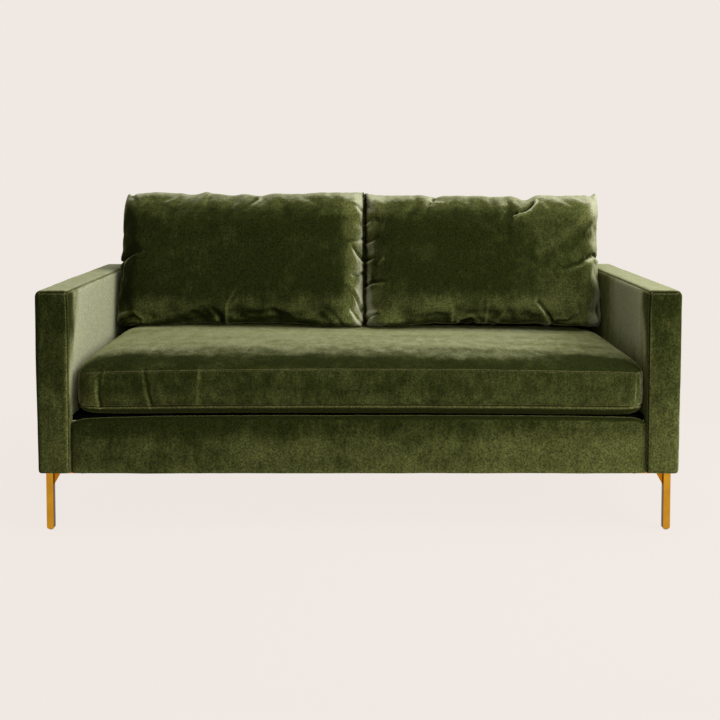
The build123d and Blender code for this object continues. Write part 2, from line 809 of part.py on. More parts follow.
back_depth, back_reach = pillow_sections[1]
zip_share = 0.45
zip_point = lean.from_local_coords((
    (pillow_x[0] + pillow_x[1]) / 2,
    pillow_y[0] + back_reach * (1 - zip_share),
    back_depth + (pillow_seam - back_depth) * zip_share,
))
zip_normal = lean.from_local_coords((0, back_depth - pillow_seam, -back_reach)) - lean.origin
pillow_zip = Plane(origin=zip_point, x_dir=(1, 0, 0), z_dir=zip_normal)
keep("left_zip_tape", zip_tape(pillow_zip, pillow_zip_length))
keep("left_zip_slider", zip_slider(pillow_zip, pillow_zip_length))

# Right back cushion: the left cushion's mirror image
for name in ("back_cushion_cover", "back_cushion_fill", "zip_tape", "zip_slider"):
    twin(f"right_{name}", f"left_{name}", Plane.YZ)
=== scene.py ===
import json
import logging
import math
from dataclasses import dataclass, field
from enum import Enum
from typing import Callable

import bmesh
import bpy
import numpy as np
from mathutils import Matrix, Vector, noise


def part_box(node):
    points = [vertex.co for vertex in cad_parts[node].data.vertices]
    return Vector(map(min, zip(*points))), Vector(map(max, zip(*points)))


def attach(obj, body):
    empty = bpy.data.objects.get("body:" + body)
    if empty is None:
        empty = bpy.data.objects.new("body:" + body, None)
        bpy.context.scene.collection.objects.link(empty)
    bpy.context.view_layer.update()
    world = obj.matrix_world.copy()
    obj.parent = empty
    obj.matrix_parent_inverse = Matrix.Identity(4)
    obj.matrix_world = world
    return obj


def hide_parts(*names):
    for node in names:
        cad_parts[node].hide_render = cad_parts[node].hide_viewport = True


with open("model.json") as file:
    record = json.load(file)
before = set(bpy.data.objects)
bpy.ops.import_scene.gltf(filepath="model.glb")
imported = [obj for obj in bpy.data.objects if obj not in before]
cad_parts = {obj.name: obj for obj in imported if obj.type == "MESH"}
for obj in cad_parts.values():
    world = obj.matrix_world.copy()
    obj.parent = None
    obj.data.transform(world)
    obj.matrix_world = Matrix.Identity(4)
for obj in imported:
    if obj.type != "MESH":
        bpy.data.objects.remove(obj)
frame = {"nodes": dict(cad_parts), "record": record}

LOG = logging.getLogger("loveseat")
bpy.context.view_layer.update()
# A point that is closer than this to a face lies on it
NEAR = 0.001
# Faces that meet at more than this angle, in radians, make a sharp edge
SHARP = 0.9
# A cushion's panels are laid out from -1 to 1, and past this they are at their edge
RIM = 0.9999


# Plain helpers

def linear(colour: str) -> tuple[float, float, float, float]:
    """Turns an sRGB hex colour into linear RGBA.

    Args:
        colour: Six hex digits, with or without a leading hash.

    Returns:
        The linear red, green, blue and an alpha of one.
    """
    digits = colour.lstrip("#")
    channels = []
    for start in (0, 2, 4):
        value = int(digits[start:start + 2], 16) / 255.0
        channels.append(value / 12.92 if value <= 0.04045 else ((value + 0.055) / 1.055) ** 2.4)
    return (channels[0], channels[1], channels[2], 1.0)


def plug(node: bpy.types.Node, inputs: dict) -> None:
    """Sets a node's inputs, each to a value or to the output socket that feeds it."""
    for socket, value in inputs.items():
        if isinstance(value, bpy.types.NodeSocket):
            node.id_data.links.new(value, node.inputs[socket])
        else:
            node.inputs[socket].default_value = value


def add_node(tree: bpy.types.NodeTree, kind: str, inputs: dict | None = None, out: int | str = 0,
             **settings: object) -> bpy.types.NodeSocket:
    """Adds a node with its settings, values and links.

    Args:
        tree: The node tree that takes the node.
        kind: The node's type name, after the ShaderNode that all of them start with.
        inputs: Input socket to a value, or to the output socket that feeds it.
        out: The output that is wanted.
        settings: Attributes of the node.

    Returns:
        That output's socket.
    """
    node = tree.nodes.new(f"ShaderNode{kind}")
    for name, value in settings.items():
        setattr(node, name, value)
    plug(node, inputs or {})
    return node.outputs[out]


def speckle(tree: bpy.types.NodeTree, size_mm: float, detail: float,
            stretch: tuple[float, float, float] = (1.0, 1.0, 1.0), rough: float = 0.5,
            twist: float = 0.0) -> bpy.types.NodeSocket:
    """Adds a noise in the object's own space.

    Args:
        tree: The material's node tree.
        size_mm: The size of its features.
        detail: Finer layers of the noise.
        stretch: Frequency along X, Y and Z; below 1 draws the features out.
        rough: How strong the finer layers are.
        twist: How far the noise distorts itself.

    Returns:
        The noise's value.
    """
    place = add_node(tree, "TexCoord", out="Object")
    drawn = add_node(tree, "Mapping", {"Vector": place, "Scale": stretch})
    return add_node(tree, "TexNoise", {"Vector": drawn, "Scale": 1000.0 / size_mm, "Detail": detail,
                                       "Roughness": rough, "Distortion": twist})


def start_material(name: str) -> tuple[bpy.types.Material, bpy.types.NodeTree, bpy.types.Node]:
    """Starts a material, and hands over its node tree and its shader too."""
    material = bpy.data.materials.new(name)
    material.use_nodes = True
    return material, material.node_tree, material.node_tree.nodes["Principled BSDF"]


def ease(low: float, high: float, value: object) -> object:
    """Eases a value or an array from 0 at low to 1 at high."""
    share = np.clip((value - low) / (high - low), 0.0, 1.0)
    return share * share * (3.0 - 2.0 * share)


def bed(x: object) -> object:
    """The height of the seat's top under the back cushions; the right one has sunk in deeper."""
    return 0.4700 - 0.0106 * x


def bell(distance: object, width: float) -> object:
    """A bell curve that is 1 at no distance."""
    return np.exp(-((distance / width) ** 2))


def hand(side: int) -> str:
    """Names a side: -1 is the left, 1 the right."""
    return "left" if side < 0 else "right"


def corners(node: str) -> tuple[Vector, Vector]:
    """Returns a solid's lowest and highest corners."""
    low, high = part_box(node)
    return Vector(low), Vector(high)


# Finishes

@dataclass(frozen=True)
class Velvet:
    """Cut-pile cotton velvet: a short dense pile, dark end on, with a painted sheen that turns the base
    colour pale where it is seen along its side; the point marks that it reads paint more light and shade.
    """

    name: str = "olive_cut_pile_velvet"
    deep: str = "#1b2006"
    soft: str = "#4b4f28"
    # The next two colours are the painted sheen's, seen side on: dim, then bright
    painted_sheen: str = "#71744a"
    pale: str = "#9a9b7e"
    # The lighter lip colour along seams: wear, and partly a painted highlight
    worn_lip_highlight: str = "#6b6a42"
    sheen: str = "#a9ad63"
    patch_mm: float = 85.0
    cloud_mm: float = 34.0
    brush_mm: float = 8.0
    pile_mm: float = 4.5

    def make(self) -> bpy.types.Material:
        """Builds the material; the pile is drawn coarser than its true 0.5 mm so that it shows.

        Returns:
            The finished material.
        """
        material, tree, shader = start_material(self.name)
        nap_and_painted_light, seam, level = (add_node(tree, "Attribute", out="Fac", attribute_name=label)
                            for label in ("nap_and_painted_light", "seam", "level"))
        cloud = speckle(tree, self.cloud_mm, 4.0, rough=0.6)
        upright = speckle(tree, self.brush_mm, 3.0, (1.0, 1.0, 0.18), 0.6)
        flat = speckle(tree, self.brush_mm, 3.0, (0.30, 0.15, 1.0), 0.6)
        pile = speckle(tree, self.pile_mm, 2.0, rough=0.6)
        patch = speckle(tree, self.patch_mm, 2.0, rough=0.6)
        bump = add_node(tree, "Bump", {"Height": pile, "Strength": 0.30, "Distance": 0.0010})
        brush = add_node(tree, "Mix", {"Factor": level, 2: upright, 3: flat})
        mottle = add_node(tree, "Mix", {"Factor": 0.45, 2: cloud, 3: brush})
        # End on: a dark ground, softly clouded at random, lighter or darker where the point marks paint light
        # and shade
        patched = add_node(tree, "Math", {0: patch, 1: 0.5, 2: mottle}, operation="MULTIPLY_ADD")
        tone_and_painted_light = add_node(tree, "Math", {0: nap_and_painted_light, 1: 1.25, 2: patched}, operation="MULTIPLY_ADD")
        clouds_and_painted_light = add_node(tree, "MapRange", {"Value": tone_and_painted_light, "From Min": 0.56, "From Max": 1.51},
                          interpolation_type="SMOOTHSTEP")
        ground = add_node(tree, "Mix", {"Factor": clouds_and_painted_light, 6: linear(self.deep), 7: linear(self.soft)}, 2,
                          data_type="RGBA")
        # Painted sheen: by the Layer Weight facing, the base colour turns to the pale sheen colours where the
        # pile is seen side on, in streaks, and more where the point marks paint light
        facing = add_node(tree, "LayerWeight", {"Blend": 0.5, "Normal": bump}, "Facing")
        turned = add_node(tree, "Math", {0: nap_and_painted_light, 1: 0.5, 2: facing}, operation="MULTIPLY_ADD")
        fringed = add_node(tree, "Math", {0: mottle, 1: 0.40, 2: turned}, operation="MULTIPLY_ADD")
        rim = add_node(tree, "MapRange", {"Value": fringed, "From Min": 0.75, "From Max": 1.20},
                       interpolation_type="SMOOTHSTEP")
        streaks_and_painted_light = add_node(tree, "Math", {0: nap_and_painted_light, 1: 1.4, 2: brush}, operation="MULTIPLY_ADD")
        painted_sheen_streaks = add_node(tree, "MapRange", {"Value": streaks_and_painted_light, "From Min": 0.30, "From Max": 1.30})
        painted_sheen = add_node(tree, "Mix", {"Factor": painted_sheen_streaks, 6: linear(self.painted_sheen), 7: linear(self.pale)}, 2,
                         data_type="RGBA")
        velvet = add_node(tree, "Mix", {"Factor": rim, 6: ground, 7: painted_sheen}, 2, data_type="RGBA")
        # Seams: a lighter worn lip along the edges, partly a painted highlight; painted shade in the stitched
        # groove, and in gaps and where cushions rest
        worn = add_node(tree, "MapRange", {"Value": seam, "To Max": 0.6})
        edged = add_node(tree, "Mix", {"Factor": worn, 6: velvet, 7: linear(self.worn_lip_highlight)}, 2,
                         data_type="RGBA")
        # Painted shade, down to nearly black, where the seam mark is below zero
        groove = add_node(tree, "MapRange", {"Value": seam, "From Min": -1.0, "From Max": 0.0,
                                             "To Min": 0.12})
        coarse = add_node(tree, "MapRange", {"Value": rim, "To Min": 0.58, "To Max": 0.26})
        fine = add_node(tree, "MapRange", {"Value": pile, "From Min": 0.3, "From Max": 0.7, "To Min": -1.0})
        grain = add_node(tree, "Math", {0: fine, 1: coarse, 2: 1.0}, operation="MULTIPLY_ADD")
        shade = add_node(tree, "Math", {0: groove, 1: grain}, operation="MULTIPLY")
        colour = add_node(tree, "Mix", {"Factor": 1.0, 6: edged, 7: shade}, 2, data_type="RGBA",
                          blend_type="MULTIPLY")
        plug(shader, {"Base Color": colour, "Normal": bump, "Roughness": 0.95, "Specular IOR Level": 0.05,
                      "Sheen Weight": 0.25, "Sheen Roughness": 0.30, "Sheen Tint": linear(self.sheen)})
        return material


@dataclass(frozen=True)
class Brass:
    """Satin brass plate on drawn steel bar: fine draw lines along the bar and a soft warm gloss."""

    name: str = "satin_brass_plate"
    bright: str = "#d3992c"
    dull: str = "#b47f24"
    line_mm: float = 1.2
    roughness: float = 0.34
    # Painted shade colours: shaded for the gusset and the plate, dark for the bars' inner faces
    shaded: str = "#b0700f"
    dark: str = "#4a2606"
    cloud_mm: float = 30.0
    bar_inner: float = 0.0

    def make(self) -> bpy.types.Material:
        """Builds the material.

        Returns:
            The finished material.
        """
        material, tree, shader = start_material(self.name)
        lines = speckle(tree, self.line_mm, 2.0, (1.0, 1.0, 0.04))
        cloud = speckle(tree, self.cloud_mm, 3.0)
        polished = add_node(tree, "Mix", {"Factor": cloud, 6: linear(self.dull), 7: linear(self.bright)}, 2,
                            data_type="RGBA")
        # Painted shade: the inner face of each bar is painted nearly black, and the gusset and the plate
        # inboard of it a darker, duller brass
        place = add_node(tree, "TexCoord", out="Object")
        apart = add_node(tree, "Math", {0: add_node(tree, "SeparateXYZ", {0: place})}, operation="ABSOLUTE")
        past_inner_face = add_node(tree, "MapRange", {
            "Value": apart, "From Min": self.bar_inner - 0.0012, "From Max": self.bar_inner - 0.0006})
        inward = add_node(tree, "MapRange", {
            "Value": apart, "From Min": self.bar_inner + 0.0006, "From Max": self.bar_inner + 0.0012,
            "To Min": 1.0, "To Max": 0.0})
        side = add_node(tree, "Math", {0: past_inner_face, 1: inward}, operation="MULTIPLY")
        gusset = add_node(tree, "Mix", {"Factor": inward, 6: polished, 7: linear(self.shaded)}, 2,
                          data_type="RGBA")
        colour = add_node(tree, "Mix", {"Factor": side, 6: gusset, 7: linear(self.dark)}, 2, data_type="RGBA")
        rough = add_node(tree, "MapRange", {
            "Value": lines, "To Min": self.roughness - 0.07, "To Max": self.roughness + 0.07})
        plug(shader, {"Base Color": colour, "Roughness": rough, "Metallic": 1.0})
        return material


@dataclass(frozen=True)
class Grainy:
    """A plain material with a stretched grain and a fine tooth: planed wood, foam, cloth or plated steel."""

    name: str
    dark: str
    light: str
    grain_mm: float
    stretch: tuple[float, float, float]
    tooth_mm: float
    roughness: float
    metallic: float = 0.0
    bump: float = 0.2
    gloss: float = 0.5

    def make(self) -> bpy.types.Material:
        """Builds the material.

        Returns:
            The finished material.
        """
        material, tree, shader = start_material(self.name)
        grain = speckle(tree, self.grain_mm, 4.0, self.stretch, twist=0.5)
        tooth = speckle(tree, self.tooth_mm, 2.0)
        colour = add_node(tree, "Mix", {"Factor": grain, 6: linear(self.dark), 7: linear(self.light)}, 2,
                          data_type="RGBA")
        bump = add_node(tree, "Bump", {"Height": tooth, "Strength": self.bump, "Distance": 0.001})
        plug(shader, {"Base Color": colour, "Normal": bump, "Roughness": self.roughness,
                      "Metallic": self.metallic, "Specular IOR Level": self.gloss})
        return material


class Slot(Enum):
    """The record's material slots."""

    VELVET = "velvet"
    FOAM = "foam"
    BLACK_CLOTH = "black_cloth"
    HARDWOOD = "hardwood"
    STEEL = "steel"
    BRASS = "brass"
    NYLON = "nylon"
    ZIP_TAPE = "zip_tape"
    ZIP_METAL = "zip_metal"


class Body(Enum):
    """The bodies that a piece may ride on."""

    FRAME = "frame"
    SEAT = "seat_cushion"
    LEFT = "left_back_cushion"
    RIGHT = "right_back_cushion"


FINISHES = {
    Slot.VELVET: Velvet(),
    Slot.FOAM: Grainy("open_cell_foam", "#d8c48e", "#efe2b8", 6.0, (1, 1, 1), 2.0, 0.95),
    Slot.BLACK_CLOTH: Grainy("spun_black_cloth", "#050505", "#0b0b0a", 3.0, (1, 1, 1), 1.5, 1.0, gloss=0.0),
    Slot.HARDWOOD: Grainy("planed_beech", "#a97b4d", "#cda273", 9.0, (0.08, 1, 1), 1.2, 0.6),
    Slot.STEEL: Grainy("zinc_plated_steel", "#8b8e90", "#b4b7b9", 12.0, (1, 1, 1), 1.0, 0.4, 1.0, 0.05),
    Slot.BRASS: Brass(bar_inner=0.8185),
    Slot.NYLON: Grainy("moulded_black_nylon", "#121212", "#1e1e1e", 5.0, (1, 1, 1), 0.8, 0.5),
    Slot.ZIP_TAPE: Grainy("woven_zip_tape", "#2a2d12", "#3c4020", 2.0, (1, 6, 6), 1.0, 0.9),
    Slot.ZIP_METAL: Brass("dull_brass_zip", "#b08d4e", "#8e6f3a", 0.8, 0.45),
}


def mesh_of(bm: bmesh.types.BMesh, name: str) -> bpy.types.Mesh:
    """Turns a bmesh, which is freed, into a mesh."""
    mesh = bpy.data.meshes.new(name)
    bm.to_mesh(mesh)
    bm.free()
    return mesh


def subdivide(piece: bpy.types.Object, levels: int) -> None:
    """Smooths a piece with a subdivision surface."""
    rounding = piece.modifiers.new("rounding", "SUBSURF")
    rounding.levels = rounding.render_levels = levels


def thicken(piece: bpy.types.Object, thickness: float) -> None:
    """Gives a cloth its thickness, half of it on each side."""
    cloth = piece.modifiers.new("cloth", "SOLIDIFY")
    cloth.thickness, cloth.offset = thickness, 0.0


class Workshop:
    """Makes each finish once and turns finished meshes into pieces of the object."""

    def __init__(self) -> None:
        """Builds every finish."""
        self.materials = {slot: finish.make() for slot, finish in FINISHES.items()}

    def publish(self, name: str, cover: "Cover", slot: Slot, body: Body, nodes: tuple[str, ...] = (),
                levels: int = 1, fill: float = 0.0) -> bpy.types.Object:
        """Turns a cover into a smooth piece that rides on a body.

        Args:
            name: The piece's name.
            cover: The finished cover.
            slot: The finish.
            body: The body that carries it.
            nodes: The solids that it stands for.
            levels: Subdivision levels, 0 for none.
            fill: How full a padded piece is, 0 for a piece that isn't padded; not used.

        Returns:
            The piece's object.
        """
        mesh = cover.finished(name)
        mesh.materials.append(self.materials[slot])
        piece = bpy.data.objects.new(name, mesh)
        bpy.context.scene.collection.objects.link(piece)
        if levels:
            subdivide(piece, levels)
        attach(piece, body.value)
        if nodes:
            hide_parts(*nodes)
        low, high = cover.points.min(axis=0).round(4), cover.points.max(axis=0).round(4)
        LOG.info("%s: %d faces from %s to %s on %s", name, len(mesh.polygons), low, high, body.value)
        return piece

    def dress_solids(self) -> None:
        """Gives every solid that stays in view the finish of its slot."""
        for row in frame["record"]["subparts"]:
            solid = frame["nodes"][row["node"]]
            solid.data.materials.clear()
            solid.data.materials.append(self.materials[Slot(row["material_slot"])])


# Mesh tools for upholstery

class Cover:
    """A cover's mesh with its points and marks as arrays, so that whole panels are shaped at once."""

    def __init__(self, mesh: bpy.types.Mesh) -> None:
        """Reads the mesh, with any seam mark that it carries."""
        self.mesh = mesh
        self.points = self.read("co")
        # The nap mark holds random pile tone and painted light and shade
        self.nap_and_painted_light = np.zeros(len(self.points))
        # The seam mark holds worn lips and painted shade in grooves, gaps and where cushions rest
        self.seam = np.zeros(len(self.points))
        held = mesh.attributes.get("held")
        self.held = np.zeros(len(self.points))
        if held:
            held.data.foreach_get("value", self.held)

    @classmethod
    def of(cls, bm: bmesh.types.BMesh) -> "Cover":
        """Takes over a bmesh, which is freed."""
        return cls(mesh_of(bm, "cover"))

    def read(self, what: str) -> np.ndarray:
        """Reads a vector of every point."""
        flat = np.empty(3 * len(self.mesh.vertices))
        self.mesh.vertices.foreach_get(what, flat)
        return flat.reshape(-1, 3)

    def store(self) -> None:
        """Writes the points back to the mesh."""
        self.mesh.vertices.foreach_set("co", self.points.ravel())
        self.mesh.update()

    def normals(self) -> np.ndarray:
        """Works out every point's normal as the cover is now."""
        self.store()
        return self.read("normal")

    def push(self, amount: np.ndarray) -> None:
        """Moves every point along its normal."""
        self.points += self.normals() * amount[:, None]

    def noise(self, length: float, seed: float,
              stretch: tuple[float, float, float] = (1, 1, 1)) -> np.ndarray:
        """Samples smooth noise at every point, from -1 to 1.

        Args:
            length: The size of its features.
            seed: Moves the pattern, so that pieces differ.
            stretch: Frequency along X, Y and Z; below 1 draws the features out.

        Returns:
            One value for each point.
        """
        places = self.points * np.array(stretch) / length + np.array((seed, seed * 1.7, seed * 2.3))
        return np.array([noise.noise(place) for place in places])

    def ripple(self, height: float, length: float, seed: float) -> None:
        """Gives taut cloth its slight unevenness."""
        self.push(height * self.noise(length, seed))

    def stitch(self, path: list[Vector], depth: float, width: float) -> None:
        """Draws the cloth in along a seam and marks painted shade in its groove and its worn lips, which are
        partly a painted highlight.

        Args:
            path: The seam's points.
            depth: How far the stitching pulls the cloth in.
            width: The width of the groove.
        """
        gap = np.full(len(self.points), 1.0)
        for start, end in zip(path, path[1:]):
            first, along = np.array(start), np.array(end - start)
            share = np.clip((self.points - first) @ along / (along @ along), 0.0, 1.0)
            gap = np.minimum(gap, np.linalg.norm(self.points - first - share[:, None] * along, axis=1))
        self.push(-depth * bell(gap, width))
        # Lighter worn lips, partly a painted highlight, and painted shade in the groove
        mark = 0.7 * bell(gap - 2.3 * width, 0.8 * width) - 0.9 * bell(gap, 0.9 * width)
        self.seam = np.where(np.abs(mark) > np.abs(self.seam), mark, self.seam)

    def finished(self, name: str) -> bpy.types.Mesh:
        """Hands over the smooth mesh with the marks that the velvet reads."""
        level = ease(0.45, 0.75, np.abs(self.normals()[:, 2]))
        for label, values in (("nap_and_painted_light", self.nap_and_painted_light), ("seam", self.seam), ("level", level)):
            mark = self.mesh.attributes.new(label, "FLOAT", "POINT")
            mark.data.foreach_set("value", values.astype(np.float32))
        self.mesh.name = name
        self.mesh.shade_smooth()
        return self.mesh


def grid_box(low: Vector, high: Vector, cuts: tuple[int, int, int],
             edges: tuple[float, ...] = ()) -> bmesh.types.BMesh:
    """A box whose faces are divided into a grid.

    Args:
        low: The lowest corner.
        high: The highest corner.
        cuts: Cuts along X, Y and Z.
        edges: Where the outermost cuts are, from each edge; the others are evenly spaced between them.

    Returns:
        The bmesh.
    """
    bm = bmesh.new()
    bmesh.ops.create_cube(bm, size=1.0)
    bmesh.ops.scale(bm, vec=high - low, verts=bm.verts)
    bmesh.ops.translate(bm, vec=(low + high) / 2, verts=bm.verts)
    near = (0.0,) + edges
    for axis, count in enumerate(cuts):
        along = [e for e in bm.edges if abs((e.verts[0].co - e.verts[1].co)[axis]) > 1e-6]
        if count:
            bmesh.ops.subdivide_edges(bm, edges=along, cuts=count, use_grid_fill=True)
        size, steps = high[axis] - low[axis], count + 1
        if steps <= 2 * len(edges):
            continue
        for vert in bm.verts:
            step = round((vert.co[axis] - low[axis]) / size * steps)
            if min(step, steps - step) < len(near):
                inset = near[min(step, steps - step)]
                vert.co[axis] = low[axis] + inset if 2 * step < steps else high[axis] - inset
            else:
                share = (step - len(edges)) / (steps - 2 * len(edges))
                vert.co[axis] = low[axis] + near[-1] + share * (size - 2 * near[-1])
    return bm


def round_edges(bm: bmesh.types.BMesh, keep: Callable[[Vector, Vector], bool], radius: float,
                segments: int = 10) -> None:
    """Rounds the sharp edges that a test picks.

    Args:
        bm: The mesh.
        keep: A test that takes an edge's middle point and its direction.
        radius: The rounding.
        segments: Strips across the rounding; an even number leaves a loop along its middle.
    """
    picked = []
    for edge in bm.edges:
        if len(edge.link_faces) == 2 and edge.calc_face_angle(0.0) > SHARP:
            start, end = (v.co for v in edge.verts)
            if keep((start + end) / 2, (end - start).normalized()):
                picked.append(edge)
    bmesh.ops.bevel(bm, geom=picked, offset=radius, offset_type="OFFSET", segments=segments, profile=0.5,
                    affect="EDGES", material=-1, clamp_overlap=True)
    bm.normal_update()


# Arms, rail and fixed back

@dataclass
class TrackArm:
    """A slim padded arm with a separate front panel."""

    shop: Workshop
    side: int
    rounding: float = 0.017
    hem_rounding: float = 0.003
    edge_cell: float = 0.020
    edge_power: float = 6.0
    hem_drop: float = 0.0034
    flare: float = 0.004
    groove: float = 0.0026
    groove_width: float = 0.0018

    def build(self) -> None:
        """Builds the velvet cover over its foam."""
        name = f"{hand(self.side)}_arm"
        low, high = corners(f"{name}_cover")
        bm = grid_box(low, high, (5, 80, 32), (self.edge_cell,))
        round_edges(bm, lambda middle, way: middle.z > low.z + NEAR, self.rounding)
        round_edges(bm, lambda middle, way: middle.z < low.z + NEAR, self.hem_rounding, 4)
        cover = Cover.of(bm)
        self.sharpen(cover, low, high)
        cover.ripple(0.0011, 0.16, 3.0 + self.side)
        cover.ripple(0.0005, 0.045, 7.0 + self.side)
        inset = self.rounding * (1.0 - math.sqrt(0.5))
        inner = high.x - inset if self.side < 0 else low.x + inset
        outer = low.x if self.side < 0 else high.x
        top = high.z - inset
        front = low.y + inset
        reach = self.rounding * self.side
        crisp = self.rounding * (1.0 - 0.5 ** (1.0 / self.edge_power))
        edge = high.x - crisp if self.side < 0 else low.x + crisp
        cover.stitch([Vector((inner, front, top)), Vector((inner, high.y - inset, top))],
                     self.groove, self.groove_width)
        cover.stitch([Vector((outer - reach, front, top)), Vector((inner, front, top)),
                      Vector((edge, low.y + crisp, high.z - 0.060)), Vector((edge, low.y + crisp, low.z))],
                     self.groove, self.groove_width)
        self.brush(cover, low, high)
        self.shop.publish(f"{name}_velvet", cover, Slot.VELVET, Body.FRAME, (f"{name}_cover", f"{name}_foam"),
                          fill=0.95)

    def sharpen(self, cover: Cover, low: Vector, high: Vector) -> None:
        """Squares up the inner front edge below the top corner, where the front panel is sewn on.

        Args:
            cover: The arm's cover.
            low: Its lowest corner.
            high: Its highest corner.
        """
        x, y, z = cover.points.T
        inset = high.x - x if self.side < 0 else x - low.x
        a = np.clip(1.0 - inset / self.rounding, 0.0, 1.0)
        b = np.clip(1.0 - (y - low.y) / self.rounding, 0.0, 1.0)
        power = 2.0 + (self.edge_power - 2.0) * ease(high.z - 0.020, high.z - 0.060, z)
        turned = (a > 0.001) & (b > 0.001)
        squared = np.maximum((a ** power + b ** power) ** (1.0 / power), 1e-6)
        out = np.where(turned, np.hypot(a, b) / squared, 1.0) - 1.0
        cover.points[:, 0] -= self.side * self.rounding * a * out
        cover.points[:, 1] -= self.rounding * b * out

    def brush(self, cover: Cover, low: Vector, high: Vector) -> None:
        """Paints light and shade into the pile marks: a bright inner face behind a darker front band,
        brighter on the left arm than the right, a front face lighter low down, a lighter top edge and shade
        in the gap beside the seat cushion; trims the hem.

        Args:
            cover: The arm's cover.
            low: Its lowest corner.
            high: Its highest corner.
        """
        x, y, z = cover.points.T
        within = -self.side * (x - (low.x + high.x) / 2)
        depth = y - low.y
        height = (z - low.z) / (high.z - low.z)
        inside = ease(0.030, 0.040, within) * ease(high.z - 0.002, high.z - 0.014, z)
        edge = 0.080 * ease(0.52, 0.95, height) + 0.030 * cover.noise(0.035, 31.0, (1, 1, 0.4)) - 0.010
        bright = np.clip(0.5 + (depth - edge) / 0.13, 0.0, 1.0)
        strokes = cover.noise(0.045, 33.0, (1.0, 1.0, 0.22))
        # Painted light on the inner face, with random streaks: bright on the left arm, darker low at its
        # front, and on the right arm only high up near the front
        if self.side < 0:
            inner_streaks_and_painted_light = 0.72 + 0.34 * strokes
            inner_streaks_and_painted_light -= 0.35 * ease(0.48, 0.36, height) * ease(0.12, 0.07, depth)
        else:
            inner_streaks_and_painted_light = ease(0.56, 0.28, depth) * ease(0.46, 0.85, height) - 0.16 + 0.10 * strokes
        # A painted darker band along the inner face's front edge
        cover.nap_and_painted_light += inside * (inner_streaks_and_painted_light * bright - 0.75 * (1.0 - bright) * ease(0.0, 0.010, depth))
        face = ease(0.010, 0.002, depth)
        # Painted light on the front face: lighter low down, a little more on the right arm
        cover.nap_and_painted_light += face * (0.32 * ease(0.95, 0.0, height) + 0.05 * self.side)
        # Painted highlight along the top edge
        cover.nap_and_painted_light += 0.42 * ease(high.z - 0.004, high.z - 0.001, z) * ease(0.0, 0.020, depth)
        cover.points[:, 2] -= self.hem_drop * ease(0.02, 0.0, z - low.z) * ease(0.0095, 0.006, depth)
        cover.points[:, 0] -= self.flare * self.side * (1.0 - height) ** 2 * ease(-0.02, -0.04, within)
        # Right arm: painted light towards the outer edge of the front, painted shade high up on it
        if self.side > 0:
            outer = ease(0.0, -0.040, within)
            cover.nap_and_painted_light += face * (0.10 * outer - 0.06 - 0.10 * ease(0.4, 1.0, height))
        else:
            # Left arm: painted shade at the outer front corner, and in the gap between the arm and the seat
            # cushion's end
            cover.nap_and_painted_light -= 0.35 * ease(-0.034, -0.044, within) * ease(0.020, 0.004, depth)
            cover.seam -= 0.95 * inside * ease(0.080, 0.100, depth) * ease(0.420, 0.400, z)


@dataclass
class FrontRail:
    """The padded rail below the seat cushion."""

    shop: Workshop
    rounding: float = 0.012
    hem_rounding: float = 0.0024
    lip_room: float = 0.0045
    bow_left: float = 0.010
    bow_right: float = 0.006
    end_drop: float = 0.008
    end_setback: float = 0.003
    hem_drop: float = 0.0047

    def build(self) -> None:
        """Builds the rail's velvet, pulled over the roll."""
        low, high = corners("front_rail_cover")
        high.y -= self.lip_room
        bm = grid_box(low, high, (100, 1, 9))
        for level, radius, segments in ((high.z, self.rounding, 6), (low.z, self.hem_rounding, 4)):
            round_edges(bm, lambda middle, way: abs(way.x) > 0.9 and middle.y < low.y + NEAR and
                        abs(middle.z - level) < NEAR, radius, segments)
        sharp = bm.edges.layers.float.new("crease_edge")
        for edge in bm.edges:
            if all(v.co.y > high.y - 1e-5 and v.co.z > high.z - 1e-5 for v in edge.verts):
                edge[sharp] = 1.0
        cover = Cover.of(bm)
        cover.ripple(0.0010, 0.12, 11.0)
        cover.ripple(0.0006, 0.04, 13.0)
        x, y, z = cover.points.T
        end = ease(0.028, 0.0, high.x - np.abs(x))
        bow = np.where(x < 0.0, self.bow_left, self.bow_right) * (np.abs(x) / high.x) ** 4
        cover.points[:, 2] -= (bow + self.end_drop * end) * ease(low.z + 0.09, high.z, z)
        cover.points[:, 2] -= self.hem_drop * ease(0.02, 0.0, z - low.z) * ease(0.0040, 0.0030, y - low.y)
        cover.points[:, 1] += self.end_setback * end * ease(high.y, low.y, y)
        # Painted light and shade, with random tone: lighter towards the bottom and the right, a lighter
        # bottom edge, darker on top under the seat cushion and at the ends beside the arms
        cover.nap_and_painted_light += 0.26 * ease(high.z - 0.015, low.z + 0.06, z) + 0.13 * x / high.x - 0.02
        cover.nap_and_painted_light += 0.09 * cover.noise(0.11, 37.0) + 0.10 * ease(low.z + 0.02, low.z, z)
        cover.nap_and_painted_light -= 0.34 * ease(0.25, 0.70, cover.normals()[:, 2])
        cover.nap_and_painted_light -= 0.10 * ease(0.004, 0.001, high.x - np.abs(x))
        self.shop.publish("front_rail_velvet", cover, Slot.VELVET, Body.FRAME,
                          ("front_rail_cover", "front_rail_foam"), fill=0.9)


